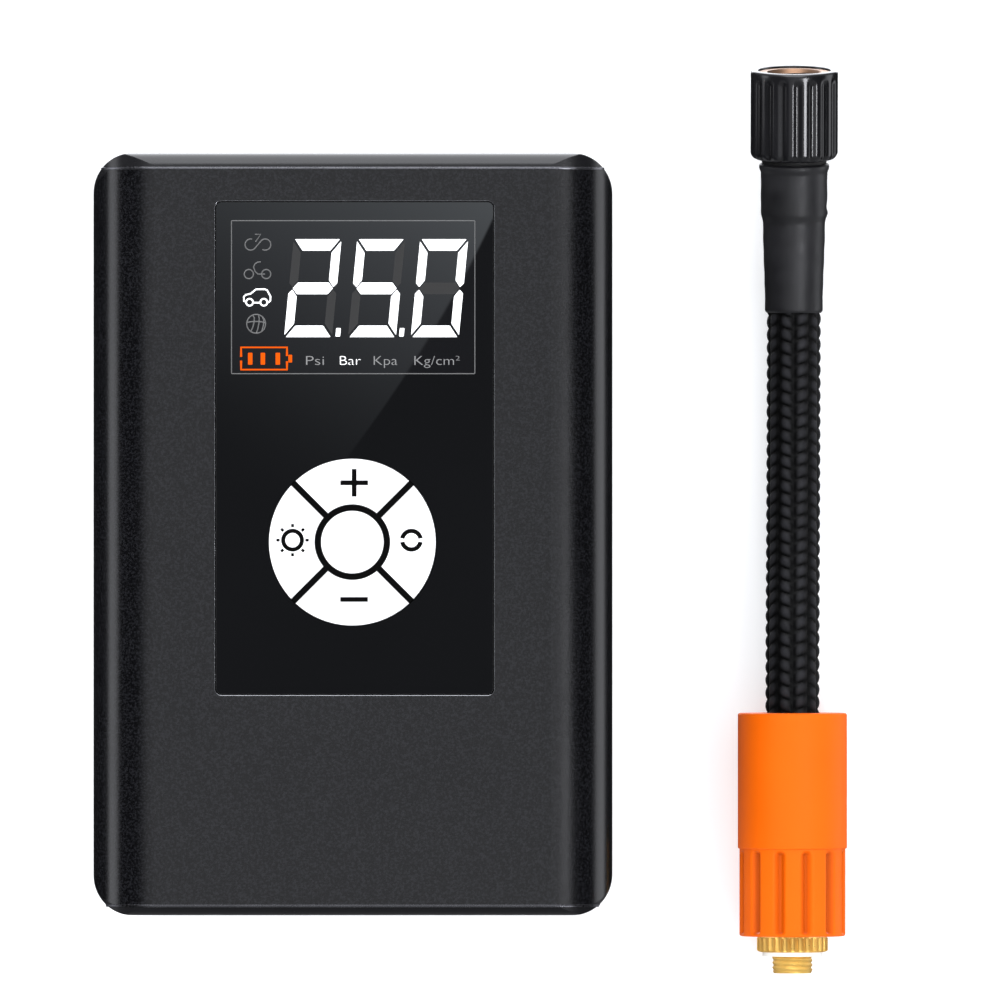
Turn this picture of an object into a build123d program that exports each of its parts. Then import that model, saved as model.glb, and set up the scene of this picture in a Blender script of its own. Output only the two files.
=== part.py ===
"""Portable tire inflator with its detachable air hose, as an assembly of separate pieces.

The pump lies on its back: +X to its right, +Y towards the air outlet, +Z out of the display.
The origin is the centre of the pump's back face, on the surface that it lies on.
All sizes are in millimetres.
"""
from build123d import *
import math
import os

os.makedirs("parts", exist_ok=True)

# ---------------------------------------------------------------- driving dimensions
# Housing
BODY_W, BODY_L, BODY_H = 84.0, 123.0, 45.0      # across X, along Y, thick in Z
EDGE_R = 10.0                                   # long side edges of the extruded sleeve
CORNER_R = 6.5                                  # corners of the outline seen from the front
CAP_EDGE_R = 2.0                                # front and back edges of the end caps
WALL = 1.8
TOP_CAP_T, BOTTOM_CAP_T = 2.26, 1.5             # cap that shows beyond the sleeve
SEAM_R = 4.9                                    # corner of the sleeve, under the caps
SKIRT_L, SKIRT_T, SKIRT_GAP = 1.84, 1.4, 0.15
SEAL_STRIP_L, SEAL_STRIP_GAP = 1.2, 0.05

# Screw ports of the extrusion, and the screws that close the caps
PORT_X, PORT_INSET = 35.68, 6.32
PORT_R, PORT_HOLE_R = 2.1, 1.05
SCREW_R, SCREW_HEAD_R, SCREW_L = 1.03, 2.1, 10.0
RECESS_L, RECESS_W = 2.2, 0.5                   # cross recess of the screws
COUNTERBORE = 0.6                               # its depth, as a share of the cap's thickness

# Front panel, display and keys
PANEL_W, PANEL_BOTTOM, PANEL_TOP = 45.0, -25.95, 53.72
PANEL_X = 0.37                                  # the panel sits a little off the sleeve's middle
PANEL_T, PANEL_DROP, PANEL_R = 1.0, 0.1, 1.05
PANEL_GAP, LEDGE = 0.1, 1.5
WINDOW_W, WINDOW_BOTTOM, WINDOW_TOP = 39.2, 25.9, 50.6
KEY_Y = -1.28                                   # centre of the key disc
KEY_DISC_R = 13.45
KEY_HOLE_R = KEY_DISC_R + 0.15
KEY_GAP = 0.12
SPOKE_W = 0.81
HUB_IN, HUB_OUT = 5.17, 5.98                    # black ring round the centre key
KEY_RISE = 0.3                                  # keys stand this far above the panel
KEY_TRAVEL = 0.4
KEY_H = 2.65

# Electronics
BOARD_Z, BOARD_T = 36.0, 1.2
BOARD_TOP = BOARD_Z + BOARD_T
USB_W, USB_H, USB_L = 8.94, 3.26, 7.3

# Compressor
DRIVE_Z = 18.5                                  # height of motor, crank and cylinder axes
CYL_X = -20.0                                   # cylinder and air outlet
CRANK_Y, MOTOR_Y = -8.0, -26.0
THROW = 3.0                                     # crank pin's distance from the crank axis
ROD_L = 30.0
BORE_R, CYL_R = 8.0, 9.6
CYL_START, CYL_END = 13.0, 38.0
GEAR_X, GEAR_T = -16.8, 4.0
MODULE, CRANK_TEETH, PINION_TEETH = 0.6, 46, 14
PLATE_X, PLATE_T = -11.8, 2.0
MOTOR_R, MOTOR_L = 13.85, 31.0
CELL_R, CELL_L = 9.2, 65.0
CELL_Y, CELL_Z = -49.6, (12.2, 31.2)

# Lamp in the top cap
LAMP_X, LAMP_Z, LAMP_R = 18.0, 18.5, 6.0

# Air hose, lying beside the pump
GRIP_X, GRIP_Z = 71.6, 8.95                     # axis of the grip
GRIP_FRONT, GRIP_STEP, GRIP_END = -29.26, -51.44, -65.74
GRIP_R, FLUTED_R, FLUTES = 8.92, 8.65, 12
HOSE_R = 4.37
SLEEVE_R, SLEEVE_FAT_R, SLEEVE_LIP_R = 4.7, 5.48, 5.7
SLEEVE_START = 36.26
STUB_R, STUB_L = 3.32, 2.8
CHUCK_X, CHUCK_Y, CHUCK_Z = 71.92, 61.34, 7.09  # centre of the collar's rear face
CHUCK_TILT = 8.0                                # degrees, the open end stands up
CHUCK_R, CHUCK_L, CHUCK_FLUTES = 7.14, 14.64, 18
VALVE_R = 3.95                                  # thread that takes a tyre valve

# ---------------------------------------------------------------- derived places
TOP, BOTTOM = BODY_L / 2, -BODY_L / 2
TOP_SEAM, BOTTOM_SEAM = TOP - TOP_CAP_T, BOTTOM + BOTTOM_CAP_T
MID_Z = BODY_H / 2
PANEL_Z = BODY_H - PANEL_DROP - PANEL_T         # underside of the front panel
PANEL_FACE = PANEL_Z + PANEL_T
PANEL_L, PANEL_MID = PANEL_TOP - PANEL_BOTTOM, (PANEL_TOP + PANEL_BOTTOM) / 2
WINDOW_L, WINDOW_MID = WINDOW_TOP - WINDOW_BOTTOM, (WINDOW_TOP + WINDOW_BOTTOM) / 2
KEY_TOP = PANEL_FACE + KEY_RISE
PORTS = [(x, z) for x in (-PORT_X, PORT_X) for z in (PORT_INSET, BODY_H - PORT_INSET)]
CHUCK_AXIS = (0, math.cos(math.radians(CHUCK_TILT)), math.sin(math.radians(CHUCK_TILT)))


def save(piece, name):
    """Label a finished piece and write it as its own STEP file."""
    piece.part.label = name
    export_step(piece.part, f"parts/{name}.step")


def end_plane(y, x=0.0, z=0.0):
    """Plane across Y: local x is +X, local y is +Z, and extrusions run towards -Y."""
    return Plane(origin=(x, y, z), x_dir=(1, 0, 0), z_dir=(0, -1, 0))


def side_plane(x, y=0.0, z=0.0):
    """Plane across X: local x is +Y, local y is +Z, and extrusions run towards +X."""
    return Plane(origin=(x, y, z), x_dir=(0, 1, 0), z_dir=(1, 0, 0))


def chuck_plane(along):
    """Plane across the chuck's tilted axis, this far from the collar's rear face."""
    return Plane(origin=(CHUCK_X, CHUCK_Y, CHUCK_Z), x_dir=(1, 0, 0), z_dir=CHUCK_AXIS).offset(along)


# ---------------------------------------------------------------- housing
with BuildPart() as body_sleeve:
    with BuildSketch(end_plane(TOP)):
        with Locations((0, MID_Z)):
            RectangleRounded(BODY_W, BODY_H, EDGE_R)
            RectangleRounded(BODY_W - 2 * WALL, BODY_H - 2 * WALL, EDGE_R - WALL, mode=Mode.SUBTRACT)
        with Locations(*PORTS):
            Circle(PORT_R)
        for x, z in PORTS:
            # each port stands on a web that runs into the rounded corner
            with Locations(Location((x, z), 45 if x * (z - MID_Z) > 0 else -45)):
                with Locations((math.copysign(PORT_R, x), 0)):
                    Rectangle(2 * PORT_R, 1.6)
        with Locations(*PORTS):
            Circle(PORT_HOLE_R, mode=Mode.SUBTRACT)
    extrude(amount=BODY_L)
    with BuildSketch(Plane.XY.offset(-1)):
        with Locations((0, (TOP_SEAM + BOTTOM_SEAM) / 2)):
            RectangleRounded(BODY_W, TOP_SEAM - BOTTOM_SEAM, SEAM_R)
    extrude(amount=BODY_H + 2, mode=Mode.INTERSECT)
    with BuildSketch(Plane.XY.offset(PANEL_Z)):
        with Locations((PANEL_X, PANEL_MID)):
            RectangleRounded(PANEL_W + 2 * PANEL_GAP, PANEL_L + 2 * PANEL_GAP, PANEL_R + PANEL_GAP)
    extrude(amount=BODY_H, mode=Mode.SUBTRACT)
    with BuildSketch(Plane.XY.offset(MID_Z)):
        with Locations((PANEL_X, PANEL_MID)):
            RectangleRounded(PANEL_W - 2 * LEDGE, PANEL_L - 2 * LEDGE, PANEL_R)
    extrude(amount=BODY_H, mode=Mode.SUBTRACT)
save(body_sleeve, "body_sleeve")


def skirt_ring(gap, thickness):
    """Ring that fits inside the sleeve and leaves room for the screw ports."""
    width, height = BODY_W - 2 * (WALL + gap), BODY_H - 2 * (WALL + gap)
    radius = EDGE_R - WALL - gap
    with Locations((0, MID_Z)):
        RectangleRounded(width, height, radius)
        RectangleRounded(width - 2 * thickness, height - 2 * thickness, radius - thickness,
                         mode=Mode.SUBTRACT)
    with Locations(*PORTS):
        Circle(PORT_R + 0.25, mode=Mode.SUBTRACT)
        Rectangle(5.2, 5.2, mode=Mode.SUBTRACT)


def cap_blank(end, seam):
    """End cap without its openings: a plate that wraps the sleeve's corners, and a skirt."""
    out = 1 if end > 0 else -1
    with BuildPart() as blank:
        with BuildSketch(end_plane(TOP)):
            with Locations((0, MID_Z)):
                RectangleRounded(BODY_W, BODY_H, EDGE_R)
        extrude(amount=BODY_L)
        with BuildSketch(Plane.XY.offset(-1)):
            RectangleRounded(BODY_W, BODY_L, CORNER_R)
        extrude(amount=BODY_H + 2, mode=Mode.INTERSECT)
        with BuildSketch(side_plane(-BODY_W)):
            with Locations((0, MID_Z)):
                RectangleRounded(BODY_L, BODY_H, CAP_EDGE_R)
        extrude(amount=2 * BODY_W, mode=Mode.INTERSECT)
        with BuildSketch(Plane.XY.offset(-1)):
            with Locations((0, seam - out * BODY_L / 2)):
                RectangleRounded(BODY_W + 0.001, BODY_L, SEAM_R)
            with Locations((0, -out * BODY_L / 2)):
                Rectangle(2 * BODY_W, BODY_L)
        extrude(amount=BODY_H + 2, mode=Mode.SUBTRACT)
        with BuildSketch(end_plane(max(seam, seam - out * SKIRT_L))):
            skirt_ring(SKIRT_GAP, SKIRT_T)
        extrude(amount=SKIRT_L)
        # counterbored screw holes
        with BuildSketch(end_plane(max(end, seam - out * SKIRT_L))):
            with Locations(*PORTS):
                Circle(SCREW_R + 0.25)
        extrude(amount=abs(end - seam) + SKIRT_L, mode=Mode.SUBTRACT)
        floor = end - COUNTERBORE * (end - seam)
        with BuildSketch(end_plane(max(floor, end))):
            with Locations(*PORTS):
                Circle(SCREW_HEAD_R + 0.15)
        extrude(amount=abs(end - floor), mode=Mode.SUBTRACT)
    return blank.part


with BuildPart() as top_cap:
    add(cap_blank(TOP, TOP_SEAM))
    with BuildSketch(end_plane(TOP)):
        with Locations((CYL_X, DRIVE_Z)):
            Circle(5.0)
        with Locations((LAMP_X, LAMP_Z)):
            Circle(LAMP_R)
        with Locations((0, BOARD_TOP + USB_H / 2)):
            SlotOverall(USB_W + 0.5, USB_H + 0.5)
    extrude(amount=TOP_CAP_T + SKIRT_L, mode=Mode.SUBTRACT)
save(top_cap, "top_cap")

with BuildPart() as bottom_cap:
    add(cap_blank(BOTTOM, BOTTOM_SEAM))
    with BuildSketch(end_plane(BOTTOM_SEAM)):
        for i in range(7):
            with Locations((-15 + 5 * i, MID_Z)):
                SlotOverall(14, 1.8, rotation=90)
    extrude(amount=BOTTOM_CAP_T, mode=Mode.SUBTRACT)
save(bottom_cap, "bottom_cap")

STRIP_STARTS = {"top_seal_strips": TOP_SEAM - SKIRT_L, "bottom_seal_strips": BOTTOM_SEAM + SKIRT_L + SEAL_STRIP_L}
for name, start in STRIP_STARTS.items():
    with BuildPart() as strips:
        with BuildSketch(end_plane(start)):
            skirt_ring(SEAL_STRIP_GAP, SKIRT_T)
        extrude(amount=SEAL_STRIP_L)
    save(strips, name)


def cap_screws(end, seam):
    """Four pan-head screws that close one end cap, heads in their counterbores."""
    out = 1 if end > 0 else -1
    floor = end - COUNTERBORE * (end - seam)
    head = end - out * 0.3
    with BuildPart() as screws:
        with BuildSketch(end_plane(max(floor, head))):
            with Locations(*PORTS):
                Circle(SCREW_HEAD_R)
        extrude(amount=abs(head - floor))
        with BuildSketch(end_plane(max(head, head - out * 0.35))):
            with Locations(*PORTS):
                Rectangle(RECESS_L, RECESS_W)
                Rectangle(RECESS_W, RECESS_L)
        extrude(amount=0.35, mode=Mode.SUBTRACT)
        with BuildSketch(end_plane(max(floor, floor - out * SCREW_L))):
            with Locations(*PORTS):
                Circle(SCREW_R)
        extrude(amount=SCREW_L)
    return screws


save(cap_screws(TOP, TOP_SEAM), "top_cap_screws")
save(cap_screws(BOTTOM, BOTTOM_SEAM), "bottom_cap_screws")

# ---------------------------------------------------------------- front panel, display and keys
with BuildPart() as front_panel:
    with BuildSketch(Plane.XY.offset(PANEL_Z)):
        with Locations((PANEL_X, PANEL_MID)):
            RectangleRounded(PANEL_W, PANEL_L, PANEL_R)
        with Locations((0, WINDOW_MID)):
            Rectangle(WINDOW_W, WINDOW_L, mode=Mode.SUBTRACT)
        with Locations((0, KEY_Y)):
            Circle(KEY_HOLE_R, mode=Mode.SUBTRACT)
    extrude(amount=PANEL_T)
    rim = front_panel.faces().sort_by(Axis.Z)[-1].outer_wire().edges()
    chamfer(rim, 0.15)
save(front_panel, "front_panel")

with BuildPart() as display_window:
    with BuildSketch(Plane.XY.offset(PANEL_Z)):
        with Locations((0, WINDOW_MID)):
            Rectangle(WINDOW_W, WINDOW_L)
    extrude(amount=PANEL_T)
save(display_window, "display_window")

# Moulded frame under the panel: it carries the circuit board on four posts
FRAME_W, FRAME_L = PANEL_W - 2 * LEDGE - 0.4, PANEL_L - 2 * LEDGE - 0.4
FRAME_T = 1.2
BRIDGE_Y, BRIDGE_W = 24.2, 1.6                  # bar between the display and the keys
POSTS = [(PANEL_X + x, y) for x in (-17.8, 17.8) for y in (-21.6, 22.6)]
with BuildPart() as panel_frame:
    with BuildSketch(Plane.XY.offset(BOARD_TOP)):
        with Locations((PANEL_X, PANEL_MID)):
            RectangleRounded(FRAME_W, FRAME_L, PANEL_R)
            Rectangle(FRAME_W - 2 * FRAME_T, FRAME_L - 2 * FRAME_T, mode=Mode.SUBTRACT)
        with Locations((PANEL_X, BRIDGE_Y)):
            Rectangle(FRAME_W, BRIDGE_W)
        with Locations(*POSTS):
            Circle(2.2)
            Circle(0.95, mode=Mode.SUBTRACT)
    extrude(amount=PANEL_Z - BOARD_TOP)
save(panel_frame, "panel_frame")

with BuildPart() as display_module:
    with BuildSketch(Plane.XY.offset(BOARD_TOP)):
        with Locations((PANEL_X / 2, WINDOW_MID)):
            Rectangle(38.2, 23.9)
    extrude(amount=6.0)
    chamfer(display_module.faces().sort_by(Axis.Z)[-1].edges(), 0.4)
save(display_module, "display_module")


def spokes(length):
    """Four spokes at 45 degrees from the hub ring, out to this radius."""
    with PolarLocations((length + HUB_IN) / 2 + 0.3, 4, start_angle=45):
        Rectangle(length - HUB_IN - 0.6, SPOKE_W)


WEB_Z = 42.4
with BuildPart() as key_web:
    with BuildSketch(Plane.XY.offset(WEB_Z)):
        with Locations((0, KEY_Y)):
            Circle(KEY_HOLE_R + 1.4)
            Circle(KEY_HOLE_R + 0.05, mode=Mode.SUBTRACT)
            Circle(HUB_OUT)
            spokes(KEY_HOLE_R + 0.6)
            Circle(HUB_IN, mode=Mode.SUBTRACT)
    extrude(amount=PANEL_Z - WEB_Z)
    with BuildSketch(Plane.XY.offset(PANEL_Z)):
        with Locations((0, KEY_Y)):
            Circle(HUB_OUT)
            spokes(KEY_DISC_R)
            Circle(HUB_IN, mode=Mode.SUBTRACT)
    extrude(amount=KEY_TOP - 0.15 - PANEL_Z)
save(key_web, "key_web")


def sector_key(angle):
    """One quarter of the key disc, between two spokes, with its middle at this angle."""
    reach = 2 * KEY_DISC_R
    shift = (SPOKE_W / 2 + KEY_GAP) * math.sqrt(2)
    turn = math.radians(angle)
    base = Plane(origin=(0, KEY_Y, KEY_TOP - KEY_H), x_dir=(math.cos(turn), math.sin(turn), 0), z_dir=(0, 0, 1))
    with BuildPart() as key:
        with BuildSketch(base):
            Circle(KEY_DISC_R)
            Circle(HUB_OUT + KEY_GAP, mode=Mode.SUBTRACT)
            with BuildLine():
                Polyline((shift, 0), (shift + reach, reach), (shift + reach, -reach), close=True)
            make_face(mode=Mode.INTERSECT)
        extrude(amount=KEY_H)
        fillet(key.faces().sort_by(Axis.Z)[-1].edges(), 0.18)
    return key


for name, angle in (("key_mode", 0), ("key_plus", 90), ("key_light", 180), ("key_minus", 270)):
    save(sector_key(angle), name)

with BuildPart() as key_power:
    with BuildSketch(Plane.XY.offset(KEY_TOP - KEY_H)):
        with Locations((0, KEY_Y)):
            Circle(HUB_IN - KEY_GAP)
    extrude(amount=KEY_H)
    fillet(key_power.faces().sort_by(Axis.Z)[-1].edges(), 0.18)
save(key_power, "key_power")

# Silicone mat under the keys, and the switches under the mat
SWITCH_PITCH = 9.8
MAT_Z, MAT_T = 40.6, 0.7
SWITCHES = [(0, KEY_Y)] + [(SWITCH_PITCH * c, KEY_Y + SWITCH_PITCH * s) for c, s in
                           ((1, 0), (0, 1), (-1, 0), (0, -1))]
with BuildPart() as keypad_mat:
    with BuildSketch(Plane.XY.offset(MAT_Z)):
        with Locations((0, KEY_Y)):
            RectangleRounded(33.0, 33.0, 3.0)
    extrude(amount=MAT_T)
    with BuildSketch(Plane.XY.offset(MAT_Z + MAT_T)):
        with Locations(*SWITCHES):
            Circle(2.6)
    extrude(amount=KEY_TOP - KEY_H - KEY_TRAVEL - 0.1 - MAT_Z - MAT_T)
save(keypad_mat, "keypad_mat")

with BuildPart() as tact_switches:
    with BuildSketch(Plane.XY.offset(BOARD_TOP)):
        with Locations(*SWITCHES):
            RectangleRounded(6.0, 6.0, 0.4)
    extrude(amount=2.3)
    with BuildSketch(Plane.XY.offset(BOARD_TOP + 2.3)):
        with Locations(*SWITCHES):
            Circle(1.75)
    extrude(amount=0.9)
save(tact_switches, "tact_switches")

BOARD_W, BOARD_BOTTOM, BOARD_END = FRAME_W, -24.2, 54.6
with BuildPart() as circuit_board:
    with BuildSketch(Plane.XY.offset(BOARD_Z)):
        with Locations((0, (BOARD_BOTTOM + BOARD_END) / 2)):
            RectangleRounded(BOARD_W, BOARD_END - BOARD_BOTTOM, 1.0)
        with Locations(*POSTS):
            Circle(1.1, mode=Mode.SUBTRACT)
    extrude(amount=BOARD_T)
    # chips and a connector on the underside
    with BuildSketch(Plane.XY.offset(BOARD_Z)):
        with Locations((10.0, 8.0)):
            Rectangle(7.0, 7.0)
        with Locations((-9.0, 6.0)):
            Rectangle(5.0, 4.0)
        with Locations((14.0, -8.0)):
            Rectangle(6.0, 9.0)
        with GridLocations(4.0, 3.0, 3, 2):
            Rectangle(2.0, 1.25)
    extrude(amount=-1.4)
save(circuit_board, "circuit_board")

BOARD_SCREW_HEAD = 1.2
with BuildPart() as board_screws:
    with BuildSketch(Plane.XY.offset(BOARD_Z)):
        with Locations(*POSTS):
            Circle(1.8)
    extrude(amount=-BOARD_SCREW_HEAD)
    with BuildSketch(Plane.XY.offset(BOARD_Z)):
        with Locations(*POSTS):
            Circle(0.93)
    extrude(amount=6.0)
    with BuildSketch(Plane.XY.offset(BOARD_Z - BOARD_SCREW_HEAD)):
        with Locations(*POSTS):
            Rectangle(RECESS_L, RECESS_W)
            Rectangle(RECESS_W, RECESS_L)
    extrude(amount=0.5, mode=Mode.SUBTRACT)
save(board_screws, "board_screws")

USB_MID = BOARD_TOP + USB_H / 2
USB_MOUTH = TOP - 0.2
with BuildPart() as usb_socket:
    with BuildSketch(end_plane(USB_MOUTH)):
        with Locations((0, USB_MID)):
            SlotOverall(USB_W, USB_H)
            SlotOverall(USB_W - 0.6, USB_H - 0.6, mode=Mode.SUBTRACT)
    extrude(amount=USB_L)
    with BuildSketch(end_plane(USB_MOUTH - USB_L + 0.8)):
        with Locations((0, USB_MID)):
            SlotOverall(USB_W, USB_H)
    extrude(amount=0.8)
    # the tongue with the contacts
    with BuildSketch(end_plane(USB_MOUTH - 0.6)):
        with Locations((0, USB_MID)):
            Rectangle(6.7, 0.7)
    extrude(amount=USB_L - 1.0)
save(usb_socket, "usb_socket")

with BuildPart() as lamp_lens:
    with BuildSketch(end_plane(TOP - 0.2)):
        with Locations((LAMP_X, LAMP_Z)):
            Circle(LAMP_R - 0.05)
    extrude(amount=TOP_CAP_T - 0.2)
    with BuildSketch(end_plane(TOP_SEAM)):
        with Locations((LAMP_X, LAMP_Z)):
            Circle(LAMP_R + 1.4)
            Circle(LAMP_R - 1.2, mode=Mode.SUBTRACT)
    extrude(amount=2.4)
save(lamp_lens, "lamp_lens")

with BuildPart() as lamp_board:
    with BuildSketch(end_plane(TOP_SEAM - 2.4)):
        with Locations((LAMP_X, LAMP_Z)):
            Circle(LAMP_R + 1.4)
    extrude(amount=1.2)
    with BuildSketch(end_plane(TOP_SEAM - 1.4)):
        with Locations((LAMP_X, LAMP_Z)):
            RectangleRounded(3.5, 3.5, 0.3)
    extrude(amount=1.0)
save(lamp_board, "lamp_board")

SENSOR_AT, SENSOR_H = (-14.0, 40.0), 3.2
with BuildPart() as pressure_sensor:
    with BuildSketch(Plane.XY.offset(BOARD_Z)):
        with Locations(SENSOR_AT):
            Rectangle(7.0, 7.0)
    extrude(amount=-SENSOR_H)
    with BuildSketch(Plane.XY.offset(BOARD_Z - SENSOR_H)):
        with Locations(SENSOR_AT):
            Circle(1.4)
            Circle(0.6, mode=Mode.SUBTRACT)
    extrude(amount=-2.6)
save(pressure_sensor, "pressure_sensor")

# ---------------------------------------------------------------- battery
with BuildPart() as battery_cells:
    with BuildSketch(side_plane(-CELL_L / 2)):
        with Locations(*[(CELL_Y, z) for z in CELL_Z]):
            Circle(CELL_R)
    extrude(amount=CELL_L)
    with BuildSketch(side_plane(CELL_L / 2 - 3.5)):
        with Locations(*[(CELL_Y, z) for z in CELL_Z]):
            Circle(CELL_R)
            Circle(CELL_R - 0.4, mode=Mode.SUBTRACT)
    extrude(amount=1.2, mode=Mode.SUBTRACT)
save(battery_cells, "battery_cells")

HOLDER_T = 0.9
SHELF_Z = sum(CELL_Z) / 2
with BuildPart() as battery_holder:
    for x in (-CELL_L / 2 - HOLDER_T, CELL_L / 2):
        with BuildSketch(side_plane(x)):
            with Locations((CELL_Y, SHELF_Z)):
                RectangleRounded(17.6, 36.0, 2.0)
        extrude(amount=HOLDER_T)
    with BuildSketch(side_plane(-CELL_L / 2)):
        with Locations((CELL_Y, SHELF_Z)):
            Rectangle(14.0, 0.5)
    extrude(amount=CELL_L)
save(battery_holder, "battery_holder")

# ---------------------------------------------------------------- motor and gears
PRESSURE_ANGLE = math.radians(20)
ADDENDUM, DEDENDUM = 0.8 * MODULE, 1.25 * MODULE
BACKLASH = 0.16
GEAR_END = GEAR_X + GEAR_T
SHAFT_R, AXLE_R, PIN_R = 1.15, 1.5, 1.25
RUN_GAP = 0.05                                  # running fit, on the radius
PLATE_END = PLATE_X + PLATE_T
MOTOR_END = PLATE_END + MOTOR_L
CAN_T = 0.8


def gear_outline(teeth, phase):
    """Corners of a spur gear with involute flanks, a tooth centred at this phase in radians."""
    pitch_r = MODULE * teeth / 2
    base_r = pitch_r * math.cos(PRESSURE_ANGLE)
    root_r, tip_r = pitch_r - DEDENDUM, pitch_r + ADDENDUM
    involute = math.tan(PRESSURE_ANGLE) - PRESSURE_ANGLE
    half_tooth = math.pi / 2 / teeth - BACKLASH / 4 / pitch_r + involute
    radii = sorted({root_r, max(base_r, root_r), pitch_r, (pitch_r + tip_r) / 2, tip_r})
    flank = []
    for radius in radii:
        roll = math.acos(min(1.0, base_r / radius))
        flank.append((radius, half_tooth - math.tan(roll) + roll))
    corners = []
    for tooth in range(teeth):
        middle = phase + 2 * math.pi * tooth / teeth
        outline = [(r, middle - a) for r, a in flank] + [(r, middle + a) for r, a in reversed(flank)]
        corners += [(r * math.cos(a), r * math.sin(a)) for r, a in outline]
    return corners


with BuildPart() as crank_gear:
    with BuildSketch(side_plane(GEAR_X, CRANK_Y, DRIVE_Z)):
        with BuildLine():
            Polyline(*gear_outline(CRANK_TEETH, 0.0), close=True)
        make_face()
        Circle(AXLE_R, mode=Mode.SUBTRACT)
        with Locations((-THROW, 0)):
            Circle(PIN_R, mode=Mode.SUBTRACT)
        # lightening holes between hub and rim
        with PolarLocations(8.6, 6):
            Circle(2.3, mode=Mode.SUBTRACT)
    extrude(amount=GEAR_T)
save(crank_gear, "crank_gear")

BEARING_R, BEARING_T = 3.0, 2.5
BOSS_R, BOSS_END = 4.0, -1.8
with BuildPart() as crank_axle:
    with BuildSketch(side_plane(GEAR_X, CRANK_Y, DRIVE_Z)):
        Circle(AXLE_R)
    extrude(amount=BOSS_END - GEAR_X)
    with BuildSketch(side_plane(BOSS_END + 0.1, CRANK_Y, DRIVE_Z)):
        Circle(2.3)
    extrude(amount=0.7)
    with BuildSketch(side_plane(BOSS_END, CRANK_Y, DRIVE_Z)):
        Circle(AXLE_R)
    extrude(amount=0.1)
save(crank_axle, "crank_axle")

ROD_X, ROD_T = CYL_X - 2.0, 4.0
with BuildPart() as crank_pin:
    with BuildSketch(side_plane(ROD_X - 0.6, CRANK_Y - THROW, DRIVE_Z)):
        Circle(PIN_R)
    extrude(amount=GEAR_END - ROD_X - 0.4)
    with BuildSketch(side_plane(ROD_X - 1.2, CRANK_Y - THROW, DRIVE_Z)):
        Circle(2.0)
    extrude(amount=0.8)
save(crank_pin, "crank_pin")

with BuildPart() as crank_bearings:
    for x in (PLATE_X, BOSS_END - BEARING_T):
        with BuildSketch(side_plane(x, CRANK_Y, DRIVE_Z)):
            Circle(BEARING_R)
            Circle(AXLE_R + RUN_GAP, mode=Mode.SUBTRACT)
        extrude(amount=BEARING_T)
save(crank_bearings, "crank_bearings")

with BuildPart() as motor_pinion:
    with BuildSketch(side_plane(GEAR_X - 0.5, MOTOR_Y, DRIVE_Z)):
        with BuildLine():
            Polyline(*gear_outline(PINION_TEETH, math.pi / PINION_TEETH), close=True)
        make_face()
        Circle(SHAFT_R, mode=Mode.SUBTRACT)
    extrude(amount=GEAR_T + 1.0)
save(motor_pinion, "motor_pinion")

with BuildPart() as motor_armature:
    with BuildSketch(side_plane(GEAR_X - 0.5, MOTOR_Y, DRIVE_Z)):
        Circle(SHAFT_R)
    extrude(amount=MOTOR_END + 2.0 - GEAR_X)
    with BuildSketch(side_plane(PLATE_END + 5.0, MOTOR_Y, DRIVE_Z)):
        Circle(10.6)
        with PolarLocations(9.4, 3):
            Rectangle(2.6, 1.4, mode=Mode.SUBTRACT)
    extrude(amount=17.0)
    with BuildSketch(side_plane(PLATE_END + 22.0, MOTOR_Y, DRIVE_Z)):
        Circle(4.0)
    extrude(amount=4.5)
save(motor_armature, "motor_armature")

with BuildPart() as motor_can:
    with BuildSketch(side_plane(PLATE_END, MOTOR_Y, DRIVE_Z)):
        Circle(MOTOR_R)
        Circle(SHAFT_R + RUN_GAP, mode=Mode.SUBTRACT)
        with Locations((0, 8.0), (0, -8.0)):
            Circle(1.2, mode=Mode.SUBTRACT)
    extrude(amount=1.2)
    with BuildSketch(side_plane(PLATE_END + 1.2, MOTOR_Y, DRIVE_Z)):
        Circle(MOTOR_R)
        Circle(MOTOR_R - CAN_T, mode=Mode.SUBTRACT)
    extrude(amount=MOTOR_L - 1.2)
    # the round boss that centres the motor in its frame
    with BuildSketch(side_plane(PLATE_END - 1.5, MOTOR_Y, DRIVE_Z)):
        Circle(3.0)
        Circle(SHAFT_R + RUN_GAP, mode=Mode.SUBTRACT)
    extrude(amount=1.5)
save(motor_can, "motor_can")

with BuildPart() as motor_magnets:
    with BuildSketch(side_plane(PLATE_END + 4.0, MOTOR_Y, DRIVE_Z)):
        Circle(MOTOR_R - CAN_T - RUN_GAP)
        Circle(11.2, mode=Mode.SUBTRACT)
        Rectangle(8.0, 2 * MOTOR_R, mode=Mode.SUBTRACT)
    extrude(amount=20.0)
save(motor_magnets, "motor_magnets")

with BuildPart() as motor_endcap:
    with BuildSketch(side_plane(MOTOR_END - 2.0, MOTOR_Y, DRIVE_Z)):
        Circle(MOTOR_R - CAN_T - RUN_GAP)
        Circle(SHAFT_R + RUN_GAP, mode=Mode.SUBTRACT)
    extrude(amount=2.8)
    with BuildSketch(side_plane(MOTOR_END + 0.8, MOTOR_Y, DRIVE_Z)):
        Circle(4.5)
        Circle(SHAFT_R + RUN_GAP, mode=Mode.SUBTRACT)
        # terminals
        with Locations((0, 9.0), (0, -9.0)):
            Rectangle(2.4, 0.5)
    extrude(amount=2.4)
save(motor_endcap, "motor_endcap")

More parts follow.
